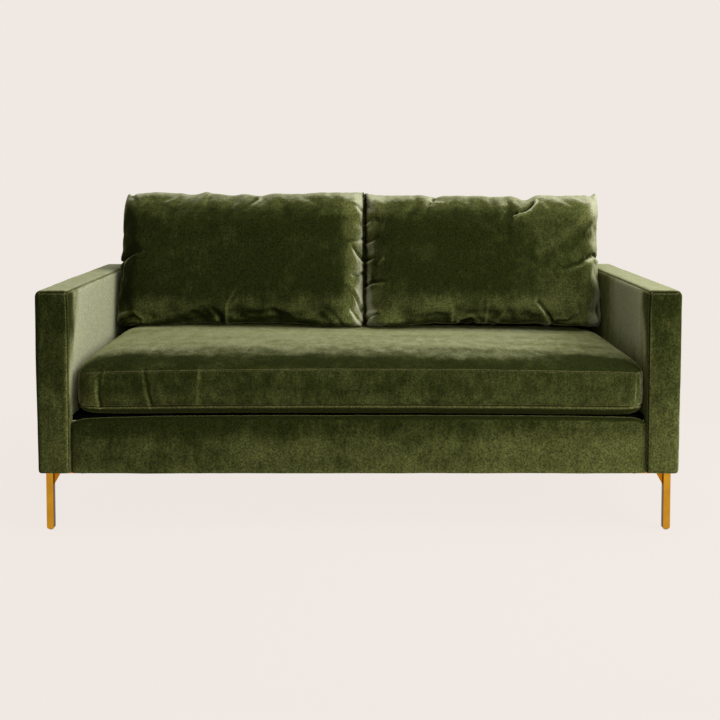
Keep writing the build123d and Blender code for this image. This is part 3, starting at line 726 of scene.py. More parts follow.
@dataclass
class FixedBack:
    """The raked fixed back between the arms, and the panel that closes it behind."""

    shop: Workshop
    rounding: float = 0.012
    rear_rounding: float = 0.004
    bottom_front: float = 0.270
    top_front: float = 0.340
    groove: float = 0.0018
    groove_width: float = 0.0020
    panel_swell: float = 0.0035
    tucked: float = 0.008
    side_wrap: float = 0.0018
    turned_in: float = 0.010

    def build(self) -> None:
        """Builds the inside back, then the outside panel."""
        self.inside()
        self.outside()

    def inside(self) -> None:
        """Builds the raked velvet, tucked down behind the deck."""
        low, high = corners("back_cover")
        bm = grid_box(low, high, (60, 4, 18))
        for vert in bm.verts:
            share = (vert.co.z - low.z) / (high.z - low.z)
            face = self.bottom_front + (self.top_front - self.bottom_front) * share
            vert.co.y = high.y - (high.y - vert.co.y) * (high.y - face) / (high.y - low.y)
            vert.co.z -= self.tucked if vert.co.z < low.z + NEAR else 0.0
        round_edges(bm, lambda middle, way: middle.z > low.z + NEAR and
                    (abs(way.z) < 0.5 or middle.y < high.y - NEAR), self.rounding, 8)
        round_edges(bm, lambda middle, way: abs(way.z) > 0.5 and middle.y > high.y - NEAR,
                    self.rear_rounding, 4)
        cover = Cover.of(bm)
        cover.ripple(0.0010, 0.15, 17.0)
        inset = self.rounding * (1.0 - math.sqrt(0.5))
        for side in (-1, 1):
            edge = side * (high.x - inset)
            cover.stitch([Vector((edge, self.top_front + inset, high.z - inset)),
                          Vector((edge, high.y - inset, high.z - inset))], self.groove, self.groove_width)
        self.shop.publish("fixed_back_velvet", cover, Slot.VELVET, Body.FRAME, ("back_cover", "back_foam"),
                          fill=0.9)

    def outside(self) -> None:
        """Builds the rear panel, with its side edges turned in round the uprights."""
        low, high = corners("outside_back_panel")
        low.x, high.x = low.x - self.side_wrap, high.x + self.side_wrap
        cover = Cover.of(grid_box(low, high, (60, 0, 24), (0.002, 0.008)))
        x, y, z = cover.points.T
        cover.points[(np.abs(x) > high.x - NEAR) & (y < high.y - NEAR), 1] -= self.turned_in
        edge = np.minimum(high.x - np.abs(x), np.minimum(high.z - z, z - low.z))
        swell = self.panel_swell * ease(0.0, 0.03, edge)
        cover.points[:, 1] += np.where(y > (low.y + high.y) / 2, swell, 0.0)
        cover.ripple(0.0008, 0.14, 19.0)
        self.shop.publish("outside_back_velvet", cover, Slot.VELVET, Body.FRAME, ("outside_back_panel",),
                          fill=0.8)


@dataclass
class LiningCloth:
    """The black cloth over the deck, turned down in front of its padding, and the one under the base."""

    shop: Workshop
    turned_down: float = 0.013
    lead: float = 0.0030
    thickness: float = 0.0009
    columns: int = 80
    rows: int = 40

    def build(self) -> None:
        """Builds the deck cloth and the dust cover."""
        self.lay("deck_lining", "deck_cloth", self.lead, self.turned_down)
        self.lay("base_lining", "dust_cover", 0.0, 0.0)

    def lay(self, name: str, node: str, lead: float, turned_down: float) -> None:
        """Builds one cloth along the line that it follows from front to rear.

        Args:
            name: The piece's name.
            node: The solid that it stands for.
            lead: How far it reaches past the solid in front.
            turned_down: The length that hangs down in front, 0 for none.
        """
        low, high = corners(node)
        level, front = (low.z + high.z) / 2, low.y - lead
        run = [(front + (high.y - front) * step / self.rows, level) for step in range(self.rows + 1)]
        if turned_down:
            run.insert(0, (front, level - turned_down))
        bm = bmesh.new()
        rows = []
        for step in range(self.columns + 1):
            x = low.x + (high.x - low.x) * step / self.columns
            rows.append([bm.verts.new((x, y, z)) for y, z in run])
        for row, following in zip(rows, rows[1:]):
            for index in range(len(run) - 1):
                bm.faces.new((row[index], following[index], following[index + 1], row[index + 1]))
        cover = Cover.of(bm)
        cover.ripple(0.0002, 0.05, 43.0)
        piece = self.shop.publish(name, cover, Slot.BLACK_CLOTH, Body.FRAME, (node,), 0)
        thicken(piece, self.thickness)


# Loose cushions

@dataclass(frozen=True)
class Stuffing:
    """How a sewn cover is blown up from its cut shape.

    Attributes:
        pressure: The push of the filling.
        spare: The share by which the cloth is cut too large, which wrinkles it.
        bending: The cloth's stiffness.
        frames: How long the simulation runs.
        cap: The furthest that a point may move, in metres.
    """

    pressure: float
    spare: float
    bending: float
    frames: int
    cap: float


@dataclass(frozen=True)
class Fold:
    """A crease in a cushion's front, in millimetres from its lower left.

    Attributes:
        path: The line that it follows, from its deepest end.
        depth: How deep it is; a negative depth makes a ridge.
        width: Half its width.
        light: How much painted highlight it puts along its lip or ridge and painted shade in its valley.
        side: 1 for a lip on the left of the path, -1 for one on its right.
        fade: The share of its strength that it loses along the path.
    """

    path: tuple[tuple[float, float], ...]
    depth: float
    width: float
    light: float = 0.3
    side: float = 1.0
    fade: float = 0.8

    def press(self, across: np.ndarray, up: np.ndarray) -> tuple[np.ndarray, np.ndarray]:
        """Works out how the fold moves each spot of a cover and the painted light and shade that it gives
        there.

        Args:
            across: The spots' distances from the left edge, in millimetres.
            up: Their distances from the lower edge.

        Returns:
            The moves outwards, in millimetres, and the painted highlight and shade that it adds.
        """
        gap = np.full(len(across), 1e6)
        hand, share = np.ones(len(across)), np.zeros(len(across))
        total = sum(math.dist(a, b) for a, b in zip(self.path, self.path[1:]))
        run = 0.0
        for (x, y), (end_x, end_y) in zip(self.path, self.path[1:]):
            way_x, way_y = end_x - x, end_y - y
            length = math.hypot(way_x, way_y)
            part = np.clip(((across - x) * way_x + (up - y) * way_y) / length ** 2, 0.0, 1.0)
            off_x, off_y = across - x - way_x * part, up - y - way_y * part
            distance = np.hypot(off_x, off_y)
            near = distance < gap
            gap = np.where(near, distance, gap)
            hand = np.where(near, np.where(way_x * off_y - way_y * off_x >= 0.0, 1.0, -1.0), hand)
            share = np.where(near, (run + part * length) / total, share)
            run += length
        strength = (1.0 - self.fade * share) * ease(1e3, 9e2, gap)
        # A ridge gets a painted highlight along its crest; a crease gets one on its lip and painted shade in
        # its valley
        if self.depth < 0.0:
            ridge = strength * bell(gap, self.width)
            return -self.depth * ridge, self.light * ridge
        lip = bell(self.side * hand * gap - 1.6 * self.width, 1.2 * self.width)
        valley = bell(self.side * hand * gap + 0.3 * self.width, self.width)
        return (strength * self.depth * (0.4 * lip - bell(gap, self.width)),
                strength * self.light * (lip - 0.7 * valley))


def stuff(mesh: bpy.types.Mesh, pins: np.ndarray, recipe: Stuffing) -> None:
    """Blows up a sewn cover with cloth simulation and keeps its result in the mesh.

    Args:
        mesh: The closed cover, cut and sewn; its points are moved.
        pins: How firmly each point is held, from 0 to 1.
        recipe: The stuffing.
    """
    scene = bpy.context.scene
    blank = bpy.data.objects.new("sewn_cover", mesh.copy())
    scene.collection.objects.link(blank)
    group = blank.vertex_groups.new(name="held")
    for index, weight in enumerate(pins):
        if weight > 0.0:
            group.add([index], float(weight), "REPLACE")
    cloth = blank.modifiers.new("stuffing", "CLOTH")
    rules = cloth.settings
    rules.quality = 6
    rules.mass = 0.3
    rules.tension_stiffness = 18.0
    rules.compression_stiffness = 18.0
    rules.shear_stiffness = 6.0
    rules.bending_stiffness = recipe.bending
    rules.air_damping = 3.0
    rules.use_pressure = True
    rules.uniform_pressure_force = recipe.pressure
    rules.shrink_min = -recipe.spare
    rules.vertex_group_mass = group.name
    rules.effector_weights.gravity = 0.0
    cloth.collision_settings.use_collision = False
    cloth.point_cache.frame_start = 1
    cloth.point_cache.frame_end = recipe.frames
    for number in range(1, recipe.frames + 1):
        scene.frame_set(number)
    shaped = blank.evaluated_get(bpy.context.evaluated_depsgraph_get()).to_mesh()
    for vert, target in zip(mesh.vertices, shaped.vertices):
        move = target.co - vert.co
        vert.co = vert.co + move / (1.0 + (move.length / recipe.cap) ** 4) ** 0.25
    scene.frame_set(1)
    bpy.data.objects.remove(blank)


def refined(mesh: bpy.types.Mesh, levels: int) -> Cover:
    """Divides a mesh into a smooth finer one.

    Args:
        mesh: The coarse mesh.
        levels: How often each face is divided.

    Returns:
        The finer cover, with its marks kept.
    """
    blank = bpy.data.objects.new("coarse_cover", mesh)
    bpy.context.scene.collection.objects.link(blank)
    subdivide(blank, levels)
    finer = bpy.data.meshes.new_from_object(blank.evaluated_get(bpy.context.evaluated_depsgraph_get()))
    bpy.data.objects.remove(blank)
    return Cover(finer)


@dataclass
class BackCushion:
    """A knife-edged loose back cushion with one pointed corner, leaning on the raked back."""

    shop: Workshop
    side: int
    left: float
    right: float
    origin: float
    folds: tuple[Fold, ...]
    dips: tuple[tuple[float, float, float], ...]
    height: float
    taper: float
    inner: float
    reach: float = 0.767
    sink: float = 0.016
    seam_depth: float = 0.095
    front_swell: float = 0.088
    belly: float = 0.014
    back_swell: float = 0.086
    draw: float = 0.003
    cut: float = 0.010
    inner_cut: float = 0.003
    side_roll: float = 0.085
    top_roll: float = 0.10
    foot_roll: float = 0.03
    seam_pull: float = 0.0012
    clearance: float = 0.0008
    zip_level: float = 0.4872
    full_front: float = 0.222
    rake: float = math.atan(70.0 / 438.0)
    foot: Vector = field(default_factory=lambda: Vector((0.0, 0.2697, 0.307)))
    low: float = 0.1583
    recipe: Stuffing = Stuffing(3.0, 0.045, 0.6, 22, 0.030)

    def width(self) -> float:
        """Works out the cushion's width."""
        return self.right - self.left

    def axes(self) -> np.ndarray:
        """Returns the cushion's width, height and thickness directions as rows."""
        lean, rise = math.sin(self.rake), math.cos(self.rake)
        return np.array(((1.0, 0.0, 0.0), (0.0, lean, rise), (0.0, -rise, lean)))

    def corner(self) -> np.ndarray:
        """Returns the lower left corner at the fixed back."""
        return np.array(self.foot) + np.array((self.left, 0.0, 0.0)) + self.axes()[1] * (self.low - self.sink)

    @staticmethod
    def roll(distance: float, radius: float) -> float:
        """Rises from 0 at an edge to 1 along a quarter circle."""
        return math.sqrt(1.0 - (1.0 - min(1.0, distance / radius)) ** 2)

    def envelope(self) -> bpy.types.Mesh:
        """Cuts and sews the two panels, a little domed.

        Returns:
            The closed cover before it is stuffed.
        """
        bm = bmesh.new()
        held = bm.verts.layers.float.new("held")
        bmesh.ops.create_grid(bm, x_segments=66, y_segments=36, size=1.0)
        copy = bmesh.ops.duplicate(bm, geom=bm.verts[:] + bm.edges[:] + bm.faces[:])["geom"]
        behind = {v for v in copy if isinstance(v, bmesh.types.BMVert)}
        bmesh.ops.reverse_faces(bm, faces=[f for f in copy if isinstance(f, bmesh.types.BMFace)])
        axes, corner, tall = self.axes(), self.corner(), self.height + self.sink
        for vert in bm.verts:
            s, t = vert.co.x, vert.co.y
            point = (abs(s) * abs(t)) ** 8
            narrow = self.taper * max(0.0, t)
            across = (0.5 + 0.5 * s) * (self.width() - narrow) + (narrow if self.side < 0 else 0.0)
            cut = self.cut if s * self.side > 0.0 else self.inner_cut
            across -= s * (self.draw * (1.0 - t * t) + cut * point)
            up = (0.5 + 0.5 * t) * tall - max(0.0, t) * cut * point
            sides = self.roll((1.0 - abs(s)) * self.width() / 2, self.side_roll)
            ends = self.roll((1.0 - abs(t)) * tall / 2, self.top_roll if t > 0.0 else self.foot_roll)
            front = self.front_swell + self.belly * ease(0.3, -0.6, t)
            out = self.seam_depth + (-self.back_swell if vert in behind else front) * sides * ends
            up -= (out - self.seam_depth) * math.tan(self.rake) * ease(0.2, -0.8, t)
            vert[held] = 1.0 if max(abs(s), abs(t)) > RIM else 0.0
            vert.co = Vector(corner + np.array((across, up, out)) @ axes)
        bmesh.ops.remove_doubles(bm, verts=bm.verts, dist=1e-5)
        return mesh_of(bm, "pillow_cover")

    def build(self) -> None:
        """Sews, stuffs and creases the cushion."""
        mesh = self.envelope()
        stuff(mesh, Cover(mesh).held, self.recipe)
        cover = refined(mesh, 2)
        self.crease(cover)
        self.settle(cover)
        body = Body.LEFT if self.side < 0 else Body.RIGHT
        self.shop.publish(body.value, cover, Slot.VELVET, body, (f"{body.value}_cover", f"{body.value}_fill"),
                          0, 0.8)

    def local(self, cover: Cover) -> np.ndarray:
        """Gives every point's place across, up and out from the cushion's corner, as rows."""
        return self.axes() @ (cover.points - self.corner()).T

    def crease(self, cover: Cover) -> None:
        """Presses in the folds of the real cushion and the puckers along its seam, and paints light and shade
        into its pile marks.

        Args:
            cover: The stuffed cover.
        """
        across, up, out = self.local(cover) * 1000.0
        up = up - 1000.0 * self.sink
        width, height = 1000.0 * self.width(), 1000.0 * self.height
        seen = ease(1000.0 * self.seam_depth - 40.0, 1000.0 * self.seam_depth - 20.0, out)
        wave = cover.noise(0.045, 5.0 * self.side)
        edge = np.minimum(np.minimum(across, width - across), up)
        move = 3.0 * cover.noise(0.030, 8.0 * self.side) * bell(edge, 34.0) * ease(0.0, 8.0, edge)
        # Painted light: lighter bands along the top, the bottom and the sides, with random tone
        cover.nap_and_painted_light += 0.62 * ease(120.0, 15.0, height - up)
        cover.nap_and_painted_light += 0.39 * ease(105.0, 20.0, up) * (1.0 + wave)
        far = ease(105.0, 15.0, width - across) * (1.0 + 0.5 * wave)
        cover.nap_and_painted_light += (0.85 if self.side < 0 else 0.38) * far
        cover.nap_and_painted_light += (0.16 if self.side < 0 else 0.70) * ease(105.0, 15.0, across) * (1.0 + wave) - 0.10
        if self.side > 0:
            cover.nap_and_painted_light += 0.18 * ease(400.0, 640.0, across) + 0.18 * ease(150.0, 30.0, up) - 0.02
        # Each fold adds a painted highlight on its lip and painted shade in its valley
        for fold in self.folds:
            pressed, tone_and_painted_light = fold.press(across + 1000.0 * (self.left - self.origin), up)
            move += pressed
            cover.nap_and_painted_light += tone_and_painted_light * seen
        cover.push(0.001 * move * seen)
        ring = bell(1.0 - cover.held, 0.35)
        cover.push(-self.seam_pull * ring)
        # A lighter lip along the seam, partly a painted highlight
        cover.seam = 0.25 * ring
        normal = cover.normals()
        # Painted shade where the cover faces up, faces down and faces outwards
        cover.nap_and_painted_light -= 0.16 * ease(0.45, 0.80, normal[:, 2])
        cover.nap_and_painted_light -= 0.42 * ease(-0.25, -0.90, normal[:, 2])
        cover.nap_and_painted_light -= (0.36 if self.side < 0 else 0.18) * ease(0.35, 0.80, self.side * normal[:, 0])

    def settle(self, cover: Cover) -> None:
        """Flattens the cushion where it rests, drops its top edge at the dips and turns up its outer corner;
        paints shade between the two cushions and where it rests on the seat.

        Args:
            cover: The creased cover.
        """
        across, up, out = self.local(cover)
        up = up - self.sink
        top = ease(0.30, 0.41, up)
        for spot, depth, width in self.dips:
            up = up - 0.001 * depth * bell(1000.0 * (across + self.left - self.origin) - spot, width) * top
        inward = 1000.0 * (across - self.taper if self.side < 0 else self.width() - self.taper - across)
        crown = ease(self.height - 0.045, self.height - 0.005, up)
        up = up + 0.001 * crown * (10.0 * bell(inward - 3.0, 10.0) - 9.0 * bell(inward - 29.0, 13.0))
        first, last = sorted((self.inner, self.side * self.reach))
        across = np.clip(across, first - self.left, last - self.left)
        ends = ease(0.0, 0.10, np.minimum(across, self.width() - across))
        sag = ends * ease(0.040, -0.010, up) * ease(0.110, 0.140, out)
        out = np.maximum(out + 0.65 * sag * np.maximum(self.full_front - out, 0.0), self.clearance)
        cover.points = self.corner() + np.stack((across, up + self.sink, out), axis=1) @ self.axes()
        rest = bed(cover.points[:, 0]) + self.clearance
        rest += (self.zip_level - rest) * ease(0.175, 0.222, cover.points[:, 1])
        cover.points[:, 2] = np.maximum(cover.points[:, 2], rest)
        # Painted shade between the two cushions and along the line where the cushion rests on the seat
        between = np.abs(cover.points[:, 0] - self.inner)
        painted_gap_shade = bell(between, 0.0040 if self.side < 0 else 0.0075)
        cover.nap_and_painted_light -= 1.5 * painted_gap_shade
        cover.seam -= 1.3 * painted_gap_shade
        cover.seam -= 0.9 * bell(cover.points[:, 2] - rest, 0.0035)
        cover.seam = np.maximum(cover.seam, -0.97)


@dataclass
class SeatCushion:
    """The boxed bench cushion with its two seams, crowned on top."""

    shop: Workshop
    half: float = 0.7455
    middle: float = 0.0060
    front: float = -0.4310
    rear: float = 0.2670
    deck: float = 0.3078
    lower_seam: float = 0.340
    upper_seam: float = 0.435
    crown: float = 0.0385
    round_corner: float = 0.030
    pull_sides: float = -0.025
    pull_front: float = 0.004
    swell: float = 0.008
    droop: float = 0.0070
    top_droop: float = 0.0025
    lean: float = 0.004
    stitch_depth: float = 0.0034
    reach: float = 0.7690
    fold_origin: float = -0.749
    recipe: Stuffing = Stuffing(1.4, 0.006, 1.5, 16, 0.002)

    def blank(self) -> bpy.types.Mesh:
        """Cuts and sews the cover.

        Returns:
            The closed cover before it is stuffed.
        """
        low = Vector((-self.half, self.front, self.lower_seam))
        high = Vector((self.half, self.rear, self.upper_seam))
        bm = grid_box(low, high, (200, 40, 10), (0.0028, 0.0070))
        held = bm.verts.layers.float.new("held")
        centre, size = (low + high) / 2, (high - low) / 2
        for vert in bm.verts:
            s = (vert.co.x - centre.x) / size.x
            t = (vert.co.y - centre.y) / size.y
            w = (vert.co.z - centre.z) / size.z
            rim = max(abs(s), abs(t)) > RIM
            crest = max(0.0, (1.0 - abs(s) ** 20) * (1.0 - abs(t) ** 4.5)) ** 0.68
            vert[held] = 1.0 if rim and abs(w) > RIM else 0.0
            if w > RIM:
                vert.co.z += self.crown * crest
            if w < -RIM:
                roll = max(0.0, (1.0 - abs(s) ** 30) * (1.0 - abs(t) ** 14)) ** 0.5
                vert.co.z -= (self.lower_seam - self.deck) * min(1.0, 1.05 * roll)
            u = max(0.0, 1.0 - (self.half - abs(vert.co.x)) / self.round_corner)
            v = max(0.0, 1.0 - (size.y - abs(vert.co.y - centre.y)) / self.round_corner)
            if u > 0.0 and v > 0.0:
                vert.co.x -= math.copysign(self.round_corner * u * (1.0 - math.sqrt(1.0 - v * v / 2.0)), s)
                vert.co.y -= math.copysign(self.round_corner * v * (1.0 - math.sqrt(1.0 - u * u / 2.0)), t)
            vert.co.x += self.middle - s * self.pull_sides * (1.0 - t ** 8)
            droop = s * s * (self.droop + self.top_droop * w) * (1.0 - 0.6 * crest * (w > RIM))
            vert.co.z -= droop + self.lean * s * crest
            if t < 0.0:
                vert.co.y += -t * self.pull_front * (1.0 - s * s)
            bulge = self.swell * (1.0 - w * w)
            if abs(s) > RIM:
                vert.co.x += math.copysign(0.6 * bulge * (1.0 - t ** 8), s)
            if t < -RIM:
                vert.co.y -= bulge * (1.0 - s ** 30)
        return mesh_of(bm, "bench_cover")

    def build(self) -> None:
        """Sews, stuffs and finishes the cushion."""
        mesh = self.blank()
        coarse = Cover(mesh)
        y, z = coarse.points.T[1:]
        resting = (z < self.lower_seam - 2.0 * NEAR) | (y > self.rear - NEAR)
        stuff(mesh, np.where(resting, 1.0, coarse.held), self.recipe)
        cover = refined(mesh, 1)
        cover.ripple(0.0008, 0.22, 23.0)
        cover.ripple(0.0006, 0.06, 29.0)
        self.sew(cover)
        self.shop.publish("seat_cushion_velvet", cover, Slot.VELVET, Body.SEAT,
                          ("seat_cushion_cover", "seat_cushion_core"), 0, 0.9)

    def sew(self, cover: Cover) -> None:
        """Draws in the seams, creases the boxing and paints light and shade into the pile marks.

        Args:
            cover: The stuffed cover.
        """
        normal = cover.normals()
        x, y, z = cover.points.T
        boxing = ease(-0.4, -0.8, normal[:, 1])
        across, up = 1000.0 * (x - self.fold_origin), 1000.0 * (z - self.lower_seam)
        # Folds of the boxing, each with a painted highlight on its lip and painted shade in its valley
        for fold in BENCH_FOLDS:
            pressed, tone_and_painted_light = fold.press(across, up)
            cover.push(0.001 * boxing * pressed)
            cover.nap_and_painted_light += boxing * tone_and_painted_light
        cover.push(-self.stitch_depth * cover.held)
        # Painted shade in the seams' grooves and a lighter worn lip beside them, partly a painted highlight
        cover.seam = 3.0 * cover.held * (1.0 - cover.held) - 0.9 * cover.held ** 4
        # Painted light on the boxing: lighter to the right, low down and at the left end
        cover.nap_and_painted_light += boxing * (0.04 + 0.05 * x / self.half + 0.12 * ease(50.0, 5.0, up))
        cover.nap_and_painted_light += 0.14 * boxing * ease(-0.685, -0.70, x)
        top = ease(0.3, 0.6, normal[:, 2])
        lit = ease(-0.39, -0.31, y + 0.03 * cover.noise(0.09, 41.0))
        blotch = 0.10 * cover.noise(0.05, 47.0, (0.35, 1.0, 1.0))
        shaded = 0.03 * ease(-0.08, 0.12, y) + 0.16 * ease(0.45, 0.72, x)
        cover.nap_and_painted_light += top * (0.17 * lit - 0.07 + blotch - shaded)
        # Painted light on the right-facing end near the front, and painted shade on the underside
        cover.nap_and_painted_light += 0.40 * ease(0.5, 0.9, normal[:, 0]) * ease(-0.37, -0.40, y)
        cover.nap_and_painted_light -= 0.60 * ease(-0.2, -0.6, normal[:, 2])
        under = ease(-0.07, 0.06, y) * ease(0.24, 0.20, y)
        under = top * under * ease(0.745, 0.66, np.abs(x))
        cover.points[:, 2] += under * (bed(x) - z)
        cover.points[:, 0] = np.clip(cover.points[:, 0], -self.reach, self.reach)
        cover.points[:, 2] = np.maximum(cover.points[:, 2], self.deck)


@dataclass
class Zip:
    """A cushion's zip: a woven tape and its teeth, where the solid tape is."""

    shop: Workshop
    name: str
    body: Body
    cushion: str
    pitch: float = 0.0025
    tooth: tuple[float, float] = (0.0017, 0.0042)
    tooth_shift: float = 0.0011
    tape_lift: float = 0.0006
    thickness: float = 0.0007

    def build(self) -> None:
        """Builds the tape and the teeth on it."""
        solid, slider = (np.array([v.co for v in frame["nodes"][f"{self.name}_zip_{part}"].data.vertices])
                         for part in ("tape", "slider"))
        middle = (solid.min(axis=0) + solid.max(axis=0)) / 2
        axes = np.linalg.svd(solid - solid.mean(axis=0), full_matrices=False)[2]
        if (slider.mean(axis=0) - middle) @ axes[2] < 0.0:
            axes[1:] *= -1.0
        half = np.abs((solid - middle) @ axes.T).max(axis=0)
        bm = bmesh.new()
        bmesh.ops.create_grid(bm, x_segments=90, y_segments=4, size=1.0)
        tape = Cover.of(bm)
        tape.points[:, 2] = self.tape_lift / half[2] - 1.0
        tape.points = middle + (tape.points * half) @ axes
        bm = bmesh.new()
        count = int(2.0 * half[0] / self.pitch) - 4
        for index in range(count):
            tooth = bmesh.ops.create_cube(bm, size=1.0)["verts"]
            along = (index - count / 2) * self.pitch
            shift = self.tooth_shift if index % 2 else -self.tooth_shift
            bmesh.ops.scale(bm, vec=(*self.tooth, half[2]), verts=tooth)
            bmesh.ops.translate(bm, vec=(along, shift, 0.25 * half[2]), verts=tooth)
        teeth = Cover.of(bm)
        teeth.points = middle + teeth.points @ axes
        coil = self.shop.publish(f"{self.name}_zip_teeth", teeth, Slot.ZIP_METAL, self.body, (), 0)
        piece = self.shop.publish(f"{self.name}_zip_cloth", tape, Slot.ZIP_TAPE, self.body,
                                  (f"{self.name}_zip_tape",), 0)
        thicken(piece, self.thickness)


# Folds of the bench's boxing and of the back cushions' fronts
BENCH_FOLDS = (
    Fold(((60, -2), (56, 30), (57, 62)), 7.0, 4.0, 0.5, 1.0, 0.5),
    Fold(((63, 103), (61, 66)), 4.0, 4.0, 0.4),
    Fold(((196, -2), (186, 50), (176, 103)), 5.0, 4.0, 0.35, 1.0, 0.5),
    Fold(((318, 4), (320, 60), (323, 100)), -3.0, 4.0, 0.3, 1.0, 0.2),
)
LEFT_FOLDS = (
    Fold(((0, 188), (29, 202), (49, 211), (80, 218)), 13.0, 5.0, 0.8, -1.0),
    Fold(((9, 140), (15, 178), (30, 199)), 4.0, 4.0, 0.6, -1.0, 0.2),
    Fold(((271, 410), (263, 356), (244, 300)), -6.0, 16.0, 0.12, 1.0, 0.9),
    Fold(((438, 400), (417, 372)), 6.0, 6.0, 0.35),
    Fold(((45, 400), (64, 378)), 6.0, 6.0, 0.3),
    Fold(((350, -4), (352, 48), (373, 85), (394, 112)), -5.0, 4.5, 0.45),
    Fold(((337, 0), (321, 27), (300, 43)), 7.0, 7.0, 0.35),
    Fold(((10, 0), (32, 13), (61, 17), (84, 0)), 8.0, 6.0, 0.4, 1.0, 0.2),
    Fold(((779, 194), (763, 212), (745, 235)), 11.0, 4.5, 0.8),
    Fold(((779, 27), (758, 74), (731, 112)), 9.0, 5.0, 0.6, -1.0, 0.6),
    Fold(((779, -10), (763, 6), (743, 33)), 9.0, 4.5, 0.7),
    Fold(((779, 262), (758, 254), (731, 249)), 7.0, 5.0, 0.4),
    Fold(((777, 351), (763, 367), (736, 372)), 6.0, 5.0, 0.4, -1.0),
    Fold(((779, 154), (758, 146), (736, 149)), 7.0, 5.0, 0.4, -1.0),
    Fold(((710, -8), (679, 27), (652, 48)), 5.0, 8.0, 0.25),
)
RIGHT_FOLDS = (
    Fold(((-5, 402), (10, 372), (30, 345)), 14.0, 8.0, 0.35),
    Fold(((222, 400), (204, 372), (198, 345)), 8.0, 6.0, 0.35, -1.0),
    Fold(((249, 379), (233, 384), (217, 391)), -4.0, 4.0, 0.5, 1.0, 0.3),
    Fold(((540, 384), (506, 355), (480, 339)), 13.0, 5.0, 0.9, 1.0, 0.5),
    Fold(((480, 343), (466, 332), (463, 310)), 6.0, 5.0, 0.5),
    Fold(((455, 350), (447, 297), (451, 240)), 9.0, 12.0, 0.14, -1.0),
    Fold(((738, 400), (713, 343), (670, 305), (605, 249), (544, 210)), -9.0, 17.0, 0.36, 1.0, 0.7),
    Fold(((735, 290), (674, 239), (626, 202)), 7.0, 15.0, 0.10),
    Fold(((752, 199), (732, 211), (710, 202), (678, 183), (620, 162)), 13.0, 6.0, 0.7, 1.0, 0.9),
    Fold(((749, 80), (730, 112), (720, 154)), -4.0, 9.0, 0.3),
    Fold(((-2, 190), (15, 195), (34, 201)), 10.0, 4.5, 0.7, -1.0),
    Fold(((44, 179), (58, 194)), -3.0, 4.0, 0.5, 1.0, 0.3),
    Fold(((-2, 109), (20, 121), (65, 123)), 10.0, 5.0, 0.6, -1.0),
    Fold(((-2, -8), (15, 16), (41, 23)), 9.0, 4.5, 0.8, 1.0, 0.5),
    Fold(((62, -6), (70, 33)), -4.0, 4.0, 0.4),
    Fold(((-2, 249), (23, 254), (44, 265)), 7.0, 5.0, 0.35, -1.0),
    Fold(((-2, 311), (28, 324), (49, 312)), 7.0, 6.0, 0.3, -1.0),
    Fold(((272, 4), (271, 33), (265, 62)), -5.0, 6.0, 0.4),
    Fold(((377, -4), (382, 33), (384, 68)), -4.0, 4.5, 0.4, 1.0, 0.6),
    Fold(((300, -2), (333, 6), (350, -8)), 7.0, 5.0, 0.4, 1.0, 0.2),
    Fold(((409, -8), (433, 21), (444, 45)), -4.0, 7.0, 0.3),
    Fold(((588, -7), (565, 26), (541, 57)), 11.0, 6.0, 0.5, 1.0, 0.4),
    Fold(((601, 0), (633, -3), (663, 18)), 8.0, 5.0, 0.4, 1.0, 0.3),
    Fold(((677, 2), (667, 38), (658, 64)), 6.0, 5.0, 0.35),
    Fold(((743, -8), (728, 27), (731, 60)), 6.0, 5.0, 0.35),
)
# Dips of the top edge: place, depth and width, in millimetres
LEFT_DIPS = ((55, 2, 20), (225, 6, 30), (350, 6, 34), (441, 8, 34), (560, 3, 60))
RIGHT_DIPS = ((100, 2, 50), (224, 8, 24), (420, 3, 40), (520, 16, 26), (640, 3, 40))


# Studio: each lamp's name, place, side in metres and power in watts

LAMPS = (
    ("key_softbox", (3.0, -2.2, 2.2), 2.6, 185.0),
    ("front_softbox", (0.3, -4.2, 0.8), 2.4, 40.0),
    ("top_softbox", (0.9, -0.2, 3.2), 2.4, 60.0),
    ("rear_softbox", (-0.8, 4.4, 1.3), 2.4, 70.0),
)


